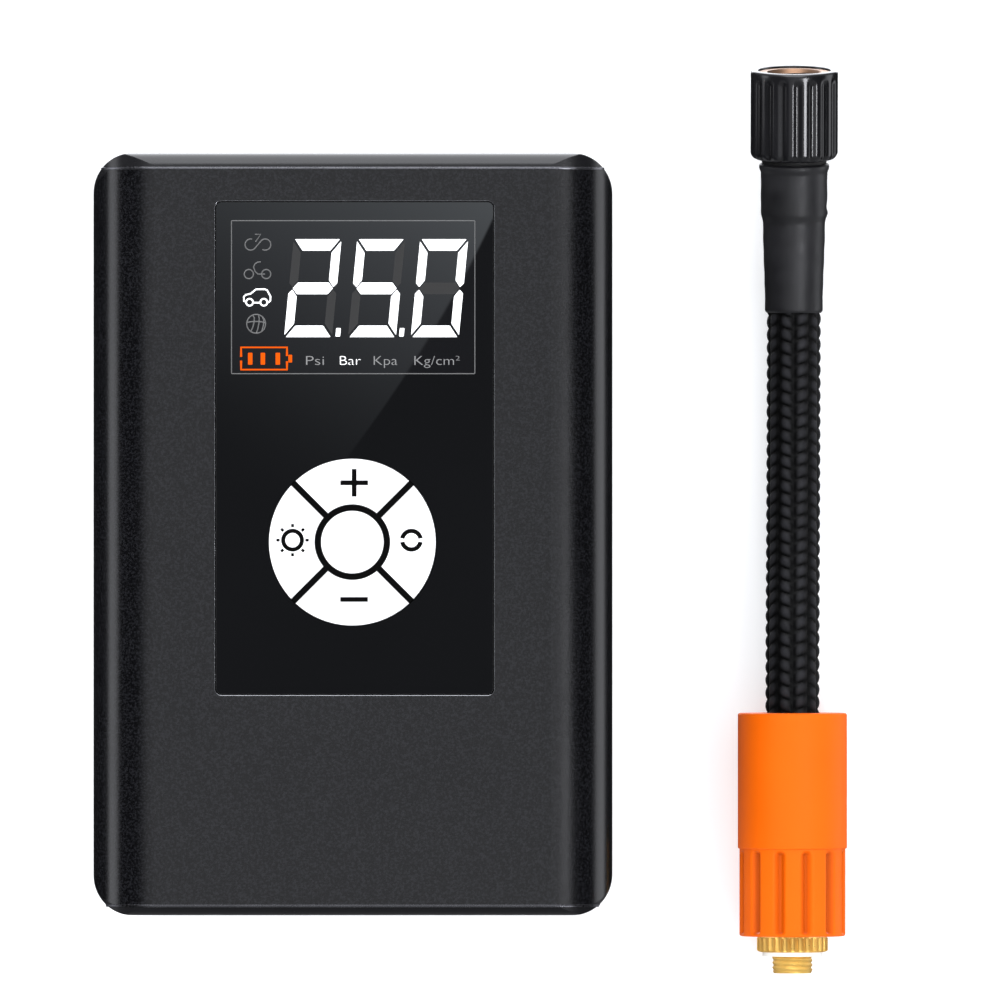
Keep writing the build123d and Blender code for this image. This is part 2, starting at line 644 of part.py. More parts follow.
# ---------------------------------------------------------------- frame of the compressor
FLOOR_T = 1.5
SEAT_Y, SEAT_T = CYL_START - 3.0, 3.0
FRAME_LEFT, FRAME_START = -32.0, -40.0
PLATE_L = 48.0
FLANGE, FLANGE_T, FLANGE_R = 22.0, 2.5, 3.0     # square flanges of cylinder and head
BOLT = 8.6                                      # their screws, off the cylinder's axis
BOLTS = [(i * BOLT, j * BOLT) for i in (-1, 1) for j in (-1, 1)]
BOLT_HOLE_R, BOLT_R, BOLT_HEAD_R = 1.05, 1.03, 1.9
FRAME_H = 30.7                                  # side plate, up from the sleeve's floor
SEAT_H = 28.2
with BuildPart() as gear_frame:
    with BuildSketch(side_plane(PLATE_X)):
        with Locations((FRAME_START + PLATE_L / 2, WALL + FRAME_H / 2)):
            Rectangle(PLATE_L, FRAME_H)
        with Locations((MOTOR_Y, DRIVE_Z)):
            Circle(3.05, mode=Mode.SUBTRACT)
        with Locations((MOTOR_Y, DRIVE_Z + 8.0), (MOTOR_Y, DRIVE_Z - 8.0)):
            Circle(1.2, mode=Mode.SUBTRACT)
    extrude(amount=PLATE_T)
    with BuildSketch(side_plane(PLATE_X, CRANK_Y, DRIVE_Z)):
        Circle(BOSS_R)
    extrude(amount=BOSS_END - PLATE_X)
    with BuildSketch(side_plane(PLATE_X, CRANK_Y, DRIVE_Z)):
        Circle(BEARING_R)
    extrude(amount=BOSS_END - PLATE_X, mode=Mode.SUBTRACT)
    with BuildSketch(Plane.XY.offset(WALL)):
        with Locations(((FRAME_LEFT + PLATE_END) / 2, (SEAT_Y + SEAT_T + FRAME_START) / 2)):
            Rectangle(PLATE_END - FRAME_LEFT, SEAT_Y + SEAT_T - FRAME_START)
    extrude(amount=FLOOR_T)
    with BuildSketch(end_plane(SEAT_Y + SEAT_T)):
        with Locations(((FRAME_LEFT + PLATE_END) / 2, WALL + SEAT_H / 2)):
            Rectangle(PLATE_END - FRAME_LEFT, SEAT_H)
        with Locations((CYL_X, DRIVE_Z)):
            Circle(7.0, mode=Mode.SUBTRACT)
            with Locations(*BOLTS):
                Circle(BOLT_HOLE_R, mode=Mode.SUBTRACT)
    extrude(amount=SEAT_T)
save(gear_frame, "gear_frame")

with BuildPart() as frame_screws:
    for z in (DRIVE_Z - 8.0, DRIVE_Z + 8.0):
        with BuildSketch(side_plane(PLATE_X - 0.9, MOTOR_Y, z)):
            Circle(2.0)
        extrude(amount=0.9)
        with BuildSketch(side_plane(PLATE_X, MOTOR_Y, z)):
            Circle(1.15)
        extrude(amount=PLATE_T + 1.0)
    with BuildSketch(end_plane(SEAT_Y, CYL_X, DRIVE_Z)):
        with Locations(*BOLTS):
            Circle(BOLT_HEAD_R)
    extrude(amount=1.2)
    with BuildSketch(end_plane(SEAT_Y + SEAT_T + FLANGE_T, CYL_X, DRIVE_Z)):
        with Locations(*BOLTS):
            Circle(BOLT_R)
    extrude(amount=SEAT_T + FLANGE_T)
save(frame_screws, "frame_screws")

# ---------------------------------------------------------------- cylinder, piston and rod
REED_T, HEAD_T = 0.4, 4.6
HEAD_START = CYL_END + REED_T
HEAD_END = HEAD_START + HEAD_T
PISTON_GAP = 0.08
SMALL_END_Y = CRANK_Y - THROW + ROD_L           # wrist pin, piston at the bottom of its stroke
PISTON_START, PISTON_ROOF, PISTON_END = SMALL_END_Y - 3.5, SMALL_END_Y + 9.5, SMALL_END_Y + 12.0
CUP_T = 0.8


def on_cylinder(y):
    """Plane across the cylinder at this Y, centred on its axis."""
    return end_plane(y, CYL_X, DRIVE_Z)


with BuildPart() as cylinder:
    with BuildSketch(on_cylinder(CYL_END)):
        Circle(CYL_R)
    extrude(amount=CYL_END - CYL_START)
    for y in (CYL_START + FLANGE_T, CYL_END):
        with BuildSketch(on_cylinder(y)):
            RectangleRounded(FLANGE, FLANGE, FLANGE_R)
        extrude(amount=FLANGE_T)
    # cooling fins
    for i in range(5):
        with BuildSketch(on_cylinder(CYL_START + 7.5 + 3.2 * i)):
            Circle(CYL_R + 1.2)
        extrude(amount=1.0)
    with BuildSketch(on_cylinder(CYL_END)):
        Circle(BORE_R)
        with Locations(*BOLTS):
            Circle(BOLT_HOLE_R)
    extrude(amount=CYL_END - CYL_START, mode=Mode.SUBTRACT)
save(cylinder, "cylinder")

with BuildPart() as reed_valve:
    with BuildSketch(on_cylinder(HEAD_START)):
        RectangleRounded(FLANGE, FLANGE, FLANGE_R)
        with Locations(*BOLTS):
            Circle(BOLT_HOLE_R, mode=Mode.SUBTRACT)
        # the slot that frees the flap
        SlotCenterToCenter(5.0, 4.2, mode=Mode.SUBTRACT)
        SlotCenterToCenter(5.0, 3.4)
        with Locations((-2.5, 0)):
            Rectangle(5.0, 2.4)
    extrude(amount=REED_T)
save(reed_valve, "reed_valve")

NOZZLE_R = 2.0
NOZZLE_END = 50.0
with BuildPart() as cylinder_head:
    with BuildSketch(on_cylinder(HEAD_END)):
        RectangleRounded(FLANGE, FLANGE, FLANGE_R)
    extrude(amount=HEAD_T)
    with BuildSketch(on_cylinder(NOZZLE_END)):
        Circle(NOZZLE_R)
    extrude(amount=NOZZLE_END - HEAD_END)
    with BuildSketch(on_cylinder(HEAD_START + 2.4)):
        Circle(6.0)
    extrude(amount=2.4, mode=Mode.SUBTRACT)
    with BuildSketch(on_cylinder(NOZZLE_END)):
        Circle(1.0)
    extrude(amount=NOZZLE_END - HEAD_START, mode=Mode.SUBTRACT)
    with BuildSketch(on_cylinder(HEAD_END)):
        with Locations(*BOLTS):
            Circle(BOLT_HOLE_R)
    extrude(amount=HEAD_T, mode=Mode.SUBTRACT)
save(cylinder_head, "cylinder_head")

with BuildPart() as head_screws:
    with BuildSketch(on_cylinder(HEAD_END + 1.2)):
        with Locations(*BOLTS):
            Circle(BOLT_HEAD_R)
            Rectangle(RECESS_L, RECESS_W, mode=Mode.SUBTRACT)
            Rectangle(RECESS_W, RECESS_L, mode=Mode.SUBTRACT)
    extrude(amount=0.7)
    with BuildSketch(on_cylinder(HEAD_END + 0.5)):
        with Locations(*BOLTS):
            Circle(BOLT_HEAD_R)
    extrude(amount=0.5)
    with BuildSketch(on_cylinder(HEAD_END)):
        with Locations(*BOLTS):
            Circle(BOLT_R)
    extrude(amount=HEAD_T + REED_T + FLANGE_T)
save(head_screws, "head_screws")

with BuildPart() as piston:
    with BuildSketch(on_cylinder(PISTON_END)):
        Circle(BORE_R - PISTON_GAP)
    extrude(amount=PISTON_END - PISTON_START)
    with BuildSketch(on_cylinder(PISTON_ROOF)):
        Circle(BORE_R - 1.2)
    extrude(amount=PISTON_ROOF - PISTON_START, mode=Mode.SUBTRACT)
save(piston, "piston")

with BuildPart() as piston_cup:
    with BuildSketch(on_cylinder(PISTON_END + CUP_T)):
        Circle(BORE_R - RUN_GAP)
    extrude(amount=CUP_T)
    with BuildSketch(on_cylinder(PISTON_END + CUP_T)):
        Circle(BORE_R - 1.4)
    extrude(amount=0.4, mode=Mode.SUBTRACT)
save(piston_cup, "piston_cup")

BIG_END_R, SMALL_END_R = 3.2, 2.8
with BuildPart() as connecting_rod:
    with BuildSketch(side_plane(ROD_X, CRANK_Y - THROW, DRIVE_Z)):
        Circle(BIG_END_R)
        with Locations((ROD_L, 0)):
            Circle(SMALL_END_R)
        with Locations((ROD_L / 2, 0)):
            Rectangle(ROD_L, 3.6)
        Circle(PIN_R + RUN_GAP, mode=Mode.SUBTRACT)
        with Locations((ROD_L, 0)):
            Circle(PIN_R, mode=Mode.SUBTRACT)
    extrude(amount=ROD_T)
save(connecting_rod, "connecting_rod")

WRIST_HALF = 5.0
with BuildPart() as wrist_pin:
    with BuildSketch(side_plane(CYL_X - WRIST_HALF, SMALL_END_Y, DRIVE_Z)):
        Circle(PIN_R)
    extrude(amount=2 * WRIST_HALF)
save(wrist_pin, "wrist_pin")

# ---------------------------------------------------------------- air outlet
PORT_FLANGE_R, PORT_BODY_R = 6.5, 4.95
OUTLET_BORE_R = STUB_R + RUN_GAP
OUTLET_MOUTH, OUTLET_FLOOR, BARB_END = TOP - 0.2, TOP - 4.6, 51.5
OUTLET_SEAL_R, OUTLET_SEAL_T = 3.9, 0.8         # recess for the seal, under the thread
with BuildPart() as outlet_port:
    with BuildSketch(on_cylinder(OUTLET_MOUTH)):
        Circle(PORT_BODY_R)
    extrude(amount=OUTLET_MOUTH - TOP_SEAM)
    with BuildSketch(on_cylinder(TOP_SEAM)):
        RegularPolygon(PORT_FLANGE_R, 6)
    extrude(amount=2.8)
    with BuildSketch(on_cylinder(TOP_SEAM - 2.8)):
        Circle(NOZZLE_R)
    extrude(amount=TOP_SEAM - 2.8 - BARB_END)
    with BuildSketch(on_cylinder(OUTLET_MOUTH)):
        Circle(OUTLET_BORE_R)
    extrude(amount=OUTLET_MOUTH - OUTLET_FLOOR, mode=Mode.SUBTRACT)
    with BuildSketch(on_cylinder(OUTLET_FLOOR + OUTLET_SEAL_T)):
        Circle(OUTLET_SEAL_R)
    extrude(amount=OUTLET_SEAL_T, mode=Mode.SUBTRACT)
    with BuildSketch(on_cylinder(OUTLET_MOUTH)):
        Circle(1.0)
    extrude(amount=OUTLET_MOUTH - BARB_END, mode=Mode.SUBTRACT)
save(outlet_port, "outlet_port")

with BuildPart() as outlet_seal:
    with BuildSketch(on_cylinder(OUTLET_FLOOR + OUTLET_SEAL_T)):
        Circle(OUTLET_SEAL_R - 0.05)
        Circle(1.6, mode=Mode.SUBTRACT)
    extrude(amount=OUTLET_SEAL_T)
save(outlet_seal, "outlet_seal")

TUBE_START, TUBE_END = 45.4, TOP_SEAM - 3.0
with BuildPart() as air_tube:
    with BuildSketch(on_cylinder(TUBE_END)):
        Circle(3.4)
        Circle(NOZZLE_R + 0.02, mode=Mode.SUBTRACT)
    extrude(amount=TUBE_END - TUBE_START)
save(air_tube, "air_tube")

# ---------------------------------------------------------------- air hose
# The hose leaves its grip level, sags to the surface and rises into the tilted chuck.
CHUCK_SLOPE = math.tan(math.radians(CHUCK_TILT))


def chuck_height(y):
    """Height of the chuck's axis over this Y."""
    return CHUCK_Z + (y - CHUCK_Y) * CHUCK_SLOPE


HOSE_END, BEND_Y = 57.6, 46.0
ROUTE = [
    (GRIP_X, -37.0, GRIP_Z),
    (GRIP_X, -20.0, GRIP_Z),
    (71.75, -3.0, 5.8),
    (71.85, 14.0, 4.47),
    (71.9, 31.0, 4.62),
    (CHUCK_X, BEND_Y, chuck_height(BEND_Y)),
    (CHUCK_X, HOSE_END, chuck_height(HOSE_END)),
]


def route_radii(route):
    """Largest tangent arc at each corner: 0.45 of its shorter run, over the tangent of half the turn."""
    points = [Vector(*point) for point in route]
    radii = []
    for before, corner, after in zip(points, points[1:], points[2:]):
        shorter = min((corner - before).length, (after - corner).length)
        turn = math.radians((corner - before).get_angle(after - corner))
        radii.append(0.45 * shorter / math.tan(turn / 2))
    return radii


HOSE_RADII = route_radii(ROUTE)
print("hose arc radii, mm:", [round(radius, 1) for radius in HOSE_RADII])

with BuildPart() as air_hose:
    with BuildLine():
        hose_path = FilletPolyline(*ROUTE, radius=HOSE_RADII)
    with BuildSketch(Plane(origin=hose_path @ 0, z_dir=hose_path % 0)):
        Circle(HOSE_R)
    sweep(path=hose_path)
print("hose length, mm:", round(hose_path.length, 2))
hose_section = math.pi * HOSE_R ** 2
print("hose volume over section x length:", round(air_hose.part.volume / hose_path.length / hose_section, 4))
save(air_hose, "air_hose")

# Heat-shrink sleeve: thin over the hose, fat over the nipple, with a lip under the chuck
SLEEVE_GAP = 0.03
run_start, run_end = ROUTE[4], ROUTE[5]
along = (SLEEVE_START - run_start[1]) / (run_end[1] - run_start[1])
sleeve_foot = tuple(a + along * (b - a) for a, b in zip(run_start, run_end))
FAT_START, LIP_START, SLEEVE_END = -11.4, -1.8, -0.4    # along the chuck's axis
with BuildPart() as hose_sleeve:
    with BuildLine():
        sleeve_path = FilletPolyline(sleeve_foot, ROUTE[5], tuple(chuck_plane(SLEEVE_END).origin),
                                     radius=HOSE_RADII[4])
    with BuildSketch(Plane(origin=sleeve_path @ 0, z_dir=sleeve_path % 0)):
        Circle(SLEEVE_R)
    sweep(path=sleeve_path)
    with BuildSketch(chuck_plane(FAT_START)):
        Circle(SLEEVE_FAT_R)
    extrude(amount=SLEEVE_END - FAT_START)
    with BuildSketch(chuck_plane(LIP_START)):
        Circle(SLEEVE_LIP_R)
    extrude(amount=SLEEVE_END - LIP_START)
    with BuildSketch(Plane(origin=sleeve_path @ 0, z_dir=sleeve_path % 0)):
        Circle(HOSE_R + SLEEVE_GAP)
    sweep(path=sleeve_path, mode=Mode.SUBTRACT)
save(hose_sleeve, "hose_sleeve")


def grip_plane(y):
    """Plane across the grip's axis at this Y; extrusions run towards -Y."""
    return end_plane(y, GRIP_X, GRIP_Z)


SHANK_R, SHANK_START = 3.6, -50.0
RING_R, RING_END, WASHER_END = 5.8, -68.36, -69.0
NECK_UNDER_WASHER_R = 3.1
HOSE_BORE_R = 1.3
RING_TEETH = 30
with BuildPart() as hose_grip:
    with BuildSketch(grip_plane(GRIP_FRONT)):
        Circle(GRIP_R)
    extrude(amount=GRIP_FRONT - GRIP_STEP)
    chamfer(hose_grip.edges().filter_by(GeomType.CIRCLE), 0.25)
    with BuildSketch(grip_plane(GRIP_STEP)):
        Circle(FLUTED_R)
        with PolarLocations(FLUTED_R + 0.3, FLUTES, start_angle=15):
            Circle(0.9, mode=Mode.SUBTRACT)
    extrude(amount=GRIP_STEP - GRIP_END)
    with BuildSketch(grip_plane(GRIP_FRONT)):
        Circle(HOSE_R + 0.06)
    extrude(amount=GRIP_FRONT - ROUTE[0][1], mode=Mode.SUBTRACT)
    with BuildSketch(grip_plane(ROUTE[0][1])):
        Circle(HOSE_BORE_R)
    extrude(amount=ROUTE[0][1] - SHANK_START, mode=Mode.SUBTRACT)
    with BuildSketch(grip_plane(SHANK_START)):
        Circle(SHANK_R)
    extrude(amount=SHANK_START - GRIP_END, mode=Mode.SUBTRACT)
save(hose_grip, "hose_grip")

with BuildPart() as hose_plug:
    with BuildSketch(grip_plane(SHANK_START)):
        Circle(SHANK_R)
    extrude(amount=SHANK_START - GRIP_END)
    with BuildSketch(grip_plane(GRIP_END)):
        Circle(RING_R)
        with PolarLocations(RING_R + 0.25, RING_TEETH):
            Circle(0.5, mode=Mode.SUBTRACT)
    extrude(amount=GRIP_END - RING_END)
    with BuildSketch(grip_plane(RING_END)):
        Circle(NECK_UNDER_WASHER_R)
    extrude(amount=RING_END - WASHER_END)
    with BuildSketch(grip_plane(WASHER_END)):
        Circle(STUB_R)
    extrude(amount=STUB_L)
    chamfer(hose_plug.faces().sort_by(Axis.Y)[0].edges(), 0.3)
    with BuildSketch(grip_plane(SHANK_START)):
        Circle(HOSE_BORE_R)
    extrude(amount=SHANK_START - WASHER_END + STUB_L, mode=Mode.SUBTRACT)
save(hose_plug, "hose_plug")

with BuildPart() as hose_washer:
    with BuildSketch(grip_plane(RING_END)):
        Circle(4.9)
        Circle(NECK_UNDER_WASHER_R + 0.03, mode=Mode.SUBTRACT)
    extrude(amount=RING_END - WASHER_END)
save(hose_washer, "hose_washer")

# ---------------------------------------------------------------- chuck for the tyre valve
INSERT_R, INSERT_START, INSERT_END = 5.9, 4.5, 14.3
RELIEF_R, THREAD_START = 4.25, 7.4              # wider bore round the seal and the pin
NECK_R, NIPPLE_FLANGE_R, NIPPLE_END = 3.55, 5.4, 4.1
NIPPLE_START = (HOSE_END - CHUCK_Y) / CHUCK_AXIS[1]
with BuildPart() as chuck_collar:
    with BuildSketch(chuck_plane(0)):
        Circle(CHUCK_R)
    extrude(amount=CHUCK_L)
    fillet(chuck_collar.edges().filter_by(GeomType.CIRCLE), 0.6)
    with BuildSketch(chuck_plane(1.2)):
        with PolarLocations(CHUCK_R + 0.35, CHUCK_FLUTES):
            Circle(0.75)
    extrude(amount=CHUCK_L - 2.4, mode=Mode.SUBTRACT)
    with BuildSketch(chuck_plane(2.0)):
        Circle(INSERT_R)
    extrude(amount=CHUCK_L, mode=Mode.SUBTRACT)
    with BuildSketch(chuck_plane(-1)):
        Circle(NECK_R + RUN_GAP)
    extrude(amount=4, mode=Mode.SUBTRACT)
save(chuck_collar, "chuck_collar")

with BuildPart() as chuck_insert:
    with BuildSketch(chuck_plane(INSERT_START)):
        Circle(INSERT_R)
        Circle(VALVE_R, mode=Mode.SUBTRACT)
    extrude(amount=INSERT_END - INSERT_START)
    bore_edges = chuck_insert.edges().filter_by(GeomType.CIRCLE).sort_by(SortBy.RADIUS)[:2]
    chamfer(bore_edges.sort_by(Axis.Y)[-1], 0.5)
    with BuildSketch(chuck_plane(INSERT_START)):
        Circle(RELIEF_R)
    extrude(amount=THREAD_START - INSERT_START, mode=Mode.SUBTRACT)
save(chuck_insert, "chuck_insert")

with BuildPart() as hose_nipple:
    with BuildSketch(chuck_plane(NIPPLE_START)):
        Circle(HOSE_R - 0.07)
    extrude(amount=-0.35 - NIPPLE_START)
    with BuildSketch(chuck_plane(-0.35)):
        Circle(NECK_R)
    extrude(amount=2.7)
    with BuildSketch(chuck_plane(2.35)):
        Circle(NIPPLE_FLANGE_R)
    extrude(amount=NIPPLE_END - 2.35)
    with BuildSketch(chuck_plane(NIPPLE_START)):
        Circle(1.2)
    extrude(amount=NIPPLE_END - NIPPLE_START, mode=Mode.SUBTRACT)
save(hose_nipple, "hose_nipple")

SEAL_T = 1.2
with BuildPart() as chuck_seal:
    with BuildSketch(chuck_plane(NIPPLE_END)):
        Circle(RELIEF_R - 0.1)
        Circle(1.3, mode=Mode.SUBTRACT)
    extrude(amount=SEAL_T)
save(chuck_seal, "chuck_seal")

PIN_FOOT = NIPPLE_END - SEAL_T
with BuildPart() as chuck_pin:
    with BuildSketch(chuck_plane(PIN_FOOT)):
        Rectangle(2.36, 0.6)
    extrude(amount=1.2)
    with BuildSketch(chuck_plane(PIN_FOOT)):
        Circle(0.6)
    extrude(amount=THREAD_START - PIN_FOOT)
save(chuck_pin, "chuck_pin")
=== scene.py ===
"""Looks of the portable tire inflator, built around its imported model."""
import math
from functools import partial, reduce

import bmesh
import bpy
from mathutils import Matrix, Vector


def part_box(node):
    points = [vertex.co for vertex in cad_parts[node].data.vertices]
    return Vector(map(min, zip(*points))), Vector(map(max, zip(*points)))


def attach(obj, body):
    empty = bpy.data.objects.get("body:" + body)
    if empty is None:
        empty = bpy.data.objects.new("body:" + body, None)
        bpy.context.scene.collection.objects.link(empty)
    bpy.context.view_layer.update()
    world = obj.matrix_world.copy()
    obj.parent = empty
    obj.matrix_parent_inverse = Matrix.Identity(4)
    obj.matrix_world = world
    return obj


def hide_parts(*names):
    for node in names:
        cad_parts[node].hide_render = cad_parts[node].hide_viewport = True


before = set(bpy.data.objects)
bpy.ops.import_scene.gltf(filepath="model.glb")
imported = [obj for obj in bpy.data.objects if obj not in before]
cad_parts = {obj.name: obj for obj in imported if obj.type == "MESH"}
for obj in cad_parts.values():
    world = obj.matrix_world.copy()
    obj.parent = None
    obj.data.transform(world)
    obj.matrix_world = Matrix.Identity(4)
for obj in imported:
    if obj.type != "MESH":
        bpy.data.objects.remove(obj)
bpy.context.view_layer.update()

MM = 0.001
scene = bpy.context.scene
scene.view_settings.view_transform = "Standard"

# ------------------------------------------------------------------ camera
FRONT_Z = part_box("body_sleeve")[1].z
CAMERA_LENS, CAMERA_SENSOR = 600.0, 36.0
VIEW_WIDTH = 161.46 * MM                       # what the picture spans at the front face
VIEW_X, VIEW_Y = 23.89 * MM, 5.44 * MM         # its centre, over the pump and the hose
CAMERA_HEIGHT = VIEW_WIDTH * CAMERA_LENS / CAMERA_SENSOR

camera = bpy.data.objects.new("camera", bpy.data.cameras.new("camera"))
camera.data.lens, camera.data.sensor_width = CAMERA_LENS, CAMERA_SENSOR
camera.data.clip_start, camera.data.clip_end = 0.1, 50.0
camera.location = (VIEW_X, VIEW_Y, FRONT_Z + CAMERA_HEIGHT)
scene.collection.objects.link(camera)
scene.camera = camera


# ------------------------------------------------------------------ material helpers
class Paint:
    """A node material with one Principled shader, built up step by step."""

    def __init__(self, name, color, roughness=0.5, metallic=0.0, **sockets):
        self.material = bpy.data.materials.new(name)
        self.material.use_nodes = True
        self.nodes = self.material.node_tree.nodes
        self.links = self.material.node_tree.links
        self.shader = self.nodes["Principled BSDF"]
        self.set("Base Color", (*color, 1.0))
        self.set("Roughness", roughness)
        self.set("Metallic", metallic)
        for socket, value in sockets.items():
            self.set(socket.replace("_", " "), value)
        self.where = self.nodes.new("ShaderNodeTexCoord").outputs["Object"]

    def set(self, socket, value):
        self.shader.inputs[socket].default_value = value

    def noise(self, scale, detail=3.0, stretch=(1.0, 1.0, 1.0), rough=0.55):
        """Noise of this many features per metre."""
        place = self.nodes.new("ShaderNodeMapping")
        place.inputs["Scale"].default_value = stretch
        noise = self.nodes.new("ShaderNodeTexNoise")
        noise.inputs["Scale"].default_value = scale
        noise.inputs["Detail"].default_value = detail
        noise.inputs["Roughness"].default_value = rough
        self.links.new(self.where, place.inputs["Vector"])
        self.links.new(place.outputs["Vector"], noise.inputs["Vector"])
        return noise.outputs["Fac"]

    def ramp(self, value, low, high, out_low, out_high):
        """Maps value from low..high to out_low..out_high."""
        node = self.nodes.new("ShaderNodeMapRange")
        node.inputs["From Min"].default_value = low
        node.inputs["From Max"].default_value = high
        node.inputs["To Min"].default_value = out_low
        node.inputs["To Max"].default_value = out_high
        self.links.new(value, node.inputs["Value"])
        return node.outputs["Result"]

    def shade(self, value, dark, light):
        """Base colour between dark and light by value, 0 to 1."""
        mix = self.nodes.new("ShaderNodeMix")
        mix.data_type = "RGBA"
        factor, first, second = (mix.inputs[i] for i in (0, 6, 7))      # of its colour version
        first.default_value = (*dark, 1.0)
        second.default_value = (*light, 1.0)
        self.links.new(value, factor)
        self.links.new(mix.outputs[2], self.shader.inputs["Base Color"])
        return self

    def rough(self, value, low, high):
        self.links.new(self.ramp(value, 0.3, 0.7, low, high), self.shader.inputs["Roughness"])
        return self

    def paint_groove_shade(self, depth, factor):
        """Painted shade: darkens the colour to this factor where a turned piece is cut this deep, in mm."""
        split = self.nodes.new("ShaderNodeSeparateXYZ")
        self.links.new(self.nodes.new("ShaderNodeTexCoord").outputs["UV"], split.inputs[0])
        amount = self.ramp(split.outputs[0], 0.0, depth, 1.0, factor)
        scale = self.nodes.new("ShaderNodeVectorMath")
        scale.operation = "SCALE"
        color = self.shader.inputs["Base Color"]
        self.links.new(color.links[0].from_socket, scale.inputs[0])
        self.links.new(amount, scale.inputs["Scale"])
        self.links.new(scale.outputs[0], color)
        return self

    def bump(self, value, strength, distance):
        node = self.nodes.new("ShaderNodeBump")
        node.inputs["Strength"].default_value = strength
        node.inputs["Distance"].default_value = distance
        self.links.new(value, node.inputs["Height"])
        before = self.shader.inputs["Normal"].links
        if before:
            self.links.new(before[0].from_socket, node.inputs["Normal"])
        self.links.new(node.outputs["Normal"], self.shader.inputs["Normal"])
        return self


def grey(value, tint=1.0):
    """Neutral colour, a little bluer where tint is over 1."""
    return (value, value, value * tint)


def around(color, change):
    """A darker and a lighter version of a colour."""
    return tuple(c * (1 - change) for c in color), tuple(c * (1 + change) for c in color)


def plastic(name, color, roughness, grain=2500.0, depth=0.00002, change=0.06, cut=None, **sockets):
    """Moulded plastic: fine texture, a little variation of colour and of gloss; cut is the (depth, factor) of
    painted shade darkened into its grooves.
    """
    paint = Paint(name, color, roughness, **sockets)
    fine = paint.noise(grain, 4.0)
    broad = paint.noise(60.0, 3.0)
    dark, light = around(color, change)
    paint.shade(paint.ramp(broad, 0.35, 0.65, 0.0, 1.0), dark, light)
    paint.rough(broad, roughness * 0.88, min(1.0, roughness * 1.12))
    # painted shade: the colour is darkened deep in the grooves, where shade would fall
    if cut:
        paint.paint_groove_shade(*cut)
    return paint.bump(fine, 0.25, depth).material


def metal(name, color, roughness, stretch=(1.0, 1.0, 1.0), scale=1500.0, metallic=1.0):
    """Turned or brushed metal, its marks drawn out across the stretch direction."""
    paint = Paint(name, color, roughness, metallic)
    marks = paint.noise(scale, 4.0, stretch)
    dark, light = around(color, 0.10)
    paint.shade(paint.ramp(paint.noise(220.0, 3.0), 0.35, 0.65, 0.0, 1.0), dark, light)
    paint.rough(marks, roughness * 0.7, min(1.0, roughness * 1.35))
    return paint.bump(marks, 0.12, 0.00002).material


def rubber(name, color, roughness=0.6):
    return plastic(name, color, roughness, grain=3500.0, depth=0.00003, change=0.10)


def glow(name, color, strength, base=None, mirror=0.5):
    """A lit or printed mark: flat colour with its own light, faintly uneven as a segment is."""
    paint = Paint(name, base or color, 0.35)
    paint.shade(paint.ramp(paint.noise(700.0, 2.0), 0.3, 0.7, 0.0, 1.0), *around(base or color, 0.03))
    paint.set("Emission Color", (*color, 1.0))
    paint.set("Emission Strength", strength)
    paint.set("Specular IOR Level", mirror)
    return paint.material


def anodised():
    """Black anodised aluminium, bead-blasted: dark, with a fine sparkle in its grain."""
    paint = Paint("sleeve_anodised", (0.004, 0.0041, 0.0048), 0.2)
    grain = paint.noise(2700.0, 2.0, rough=0.6)
    speck = paint.noise(5200.0, 2.0, rough=0.6)
    paint.shade(paint.ramp(grain, 0.46, 0.62, 0.0, 1.0), (0.0011, 0.0011, 0.0015), (0.0062, 0.0064, 0.0078))
    paint.rough(paint.noise(45.0, 3.0), 0.20, 0.24)
    paint.bump(grain, 0.3, 0.00002)
    return paint.bump(speck, 0.2, 0.000012).material


# ------------------------------------------------------------------ mesh helpers
SHARP = math.radians(38)
TINY = 1e-7


def placed(name, mesh, body):
    """Puts a mesh into the scene as a piece that rides on a body."""
    obj = bpy.data.objects.new(name, mesh)
    scene.collection.objects.link(obj)
    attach(obj, body)
    return obj


def piece(name, verts, faces, material, body, uvs=None):
    """A mesh piece in the frame, smooth but for its sharp edges, riding on a body."""
    mesh = bpy.data.meshes.new(name)
    mesh.from_pydata([tuple(v) for v in verts], [], faces)
    mesh.update()
    mesh.shade_smooth()
    mesh.set_sharp_from_angle(angle=SHARP)
    mesh.materials.append(material)
    if uvs:
        layer = mesh.uv_layers.new(name="UVMap")
        for loop in mesh.loops:
            layer.data[loop.index].uv = uvs[loop.vertex_index]
    return placed(name, mesh, body)


def bands(rows, count, closed):
    """Quads between rings of count points each; the last ring joins the first where closed."""
    faces = []
    for i in range(rows if closed else rows - 1):
        a, b = i * count, (i + 1) % rows * count
        for j in range(count):
            k = (j + 1) % count
            faces.append((a + j, a + k, b + k, b + j))
    return faces


def lathe(name, origin, axis, profile, material, body, count=96, shape=None):
    """A closed profile of (along, radius) in mm, turned about an axis; shape changes a radius by angle.

    The UV map holds the depth of that change, so that a paint can put painted shade into its grooves.
    """
    up = Vector(axis).normalized()
    side = up.cross(Vector((0, 0, 1))).normalized()
    third = up.cross(side)
    verts, uvs = [], []
    for along, radius in profile:
        for j in range(count):
            angle = 2 * math.pi * j / count
            r = shape(along, radius, angle) if shape else radius
            verts.append(Vector(origin) + (up * along + (side * math.cos(angle) + third * math.sin(angle)) * r) * MM)
            uvs.append((abs(radius - r), along))
    return piece(name, verts, bands(len(profile), count, True), material, body, uvs)


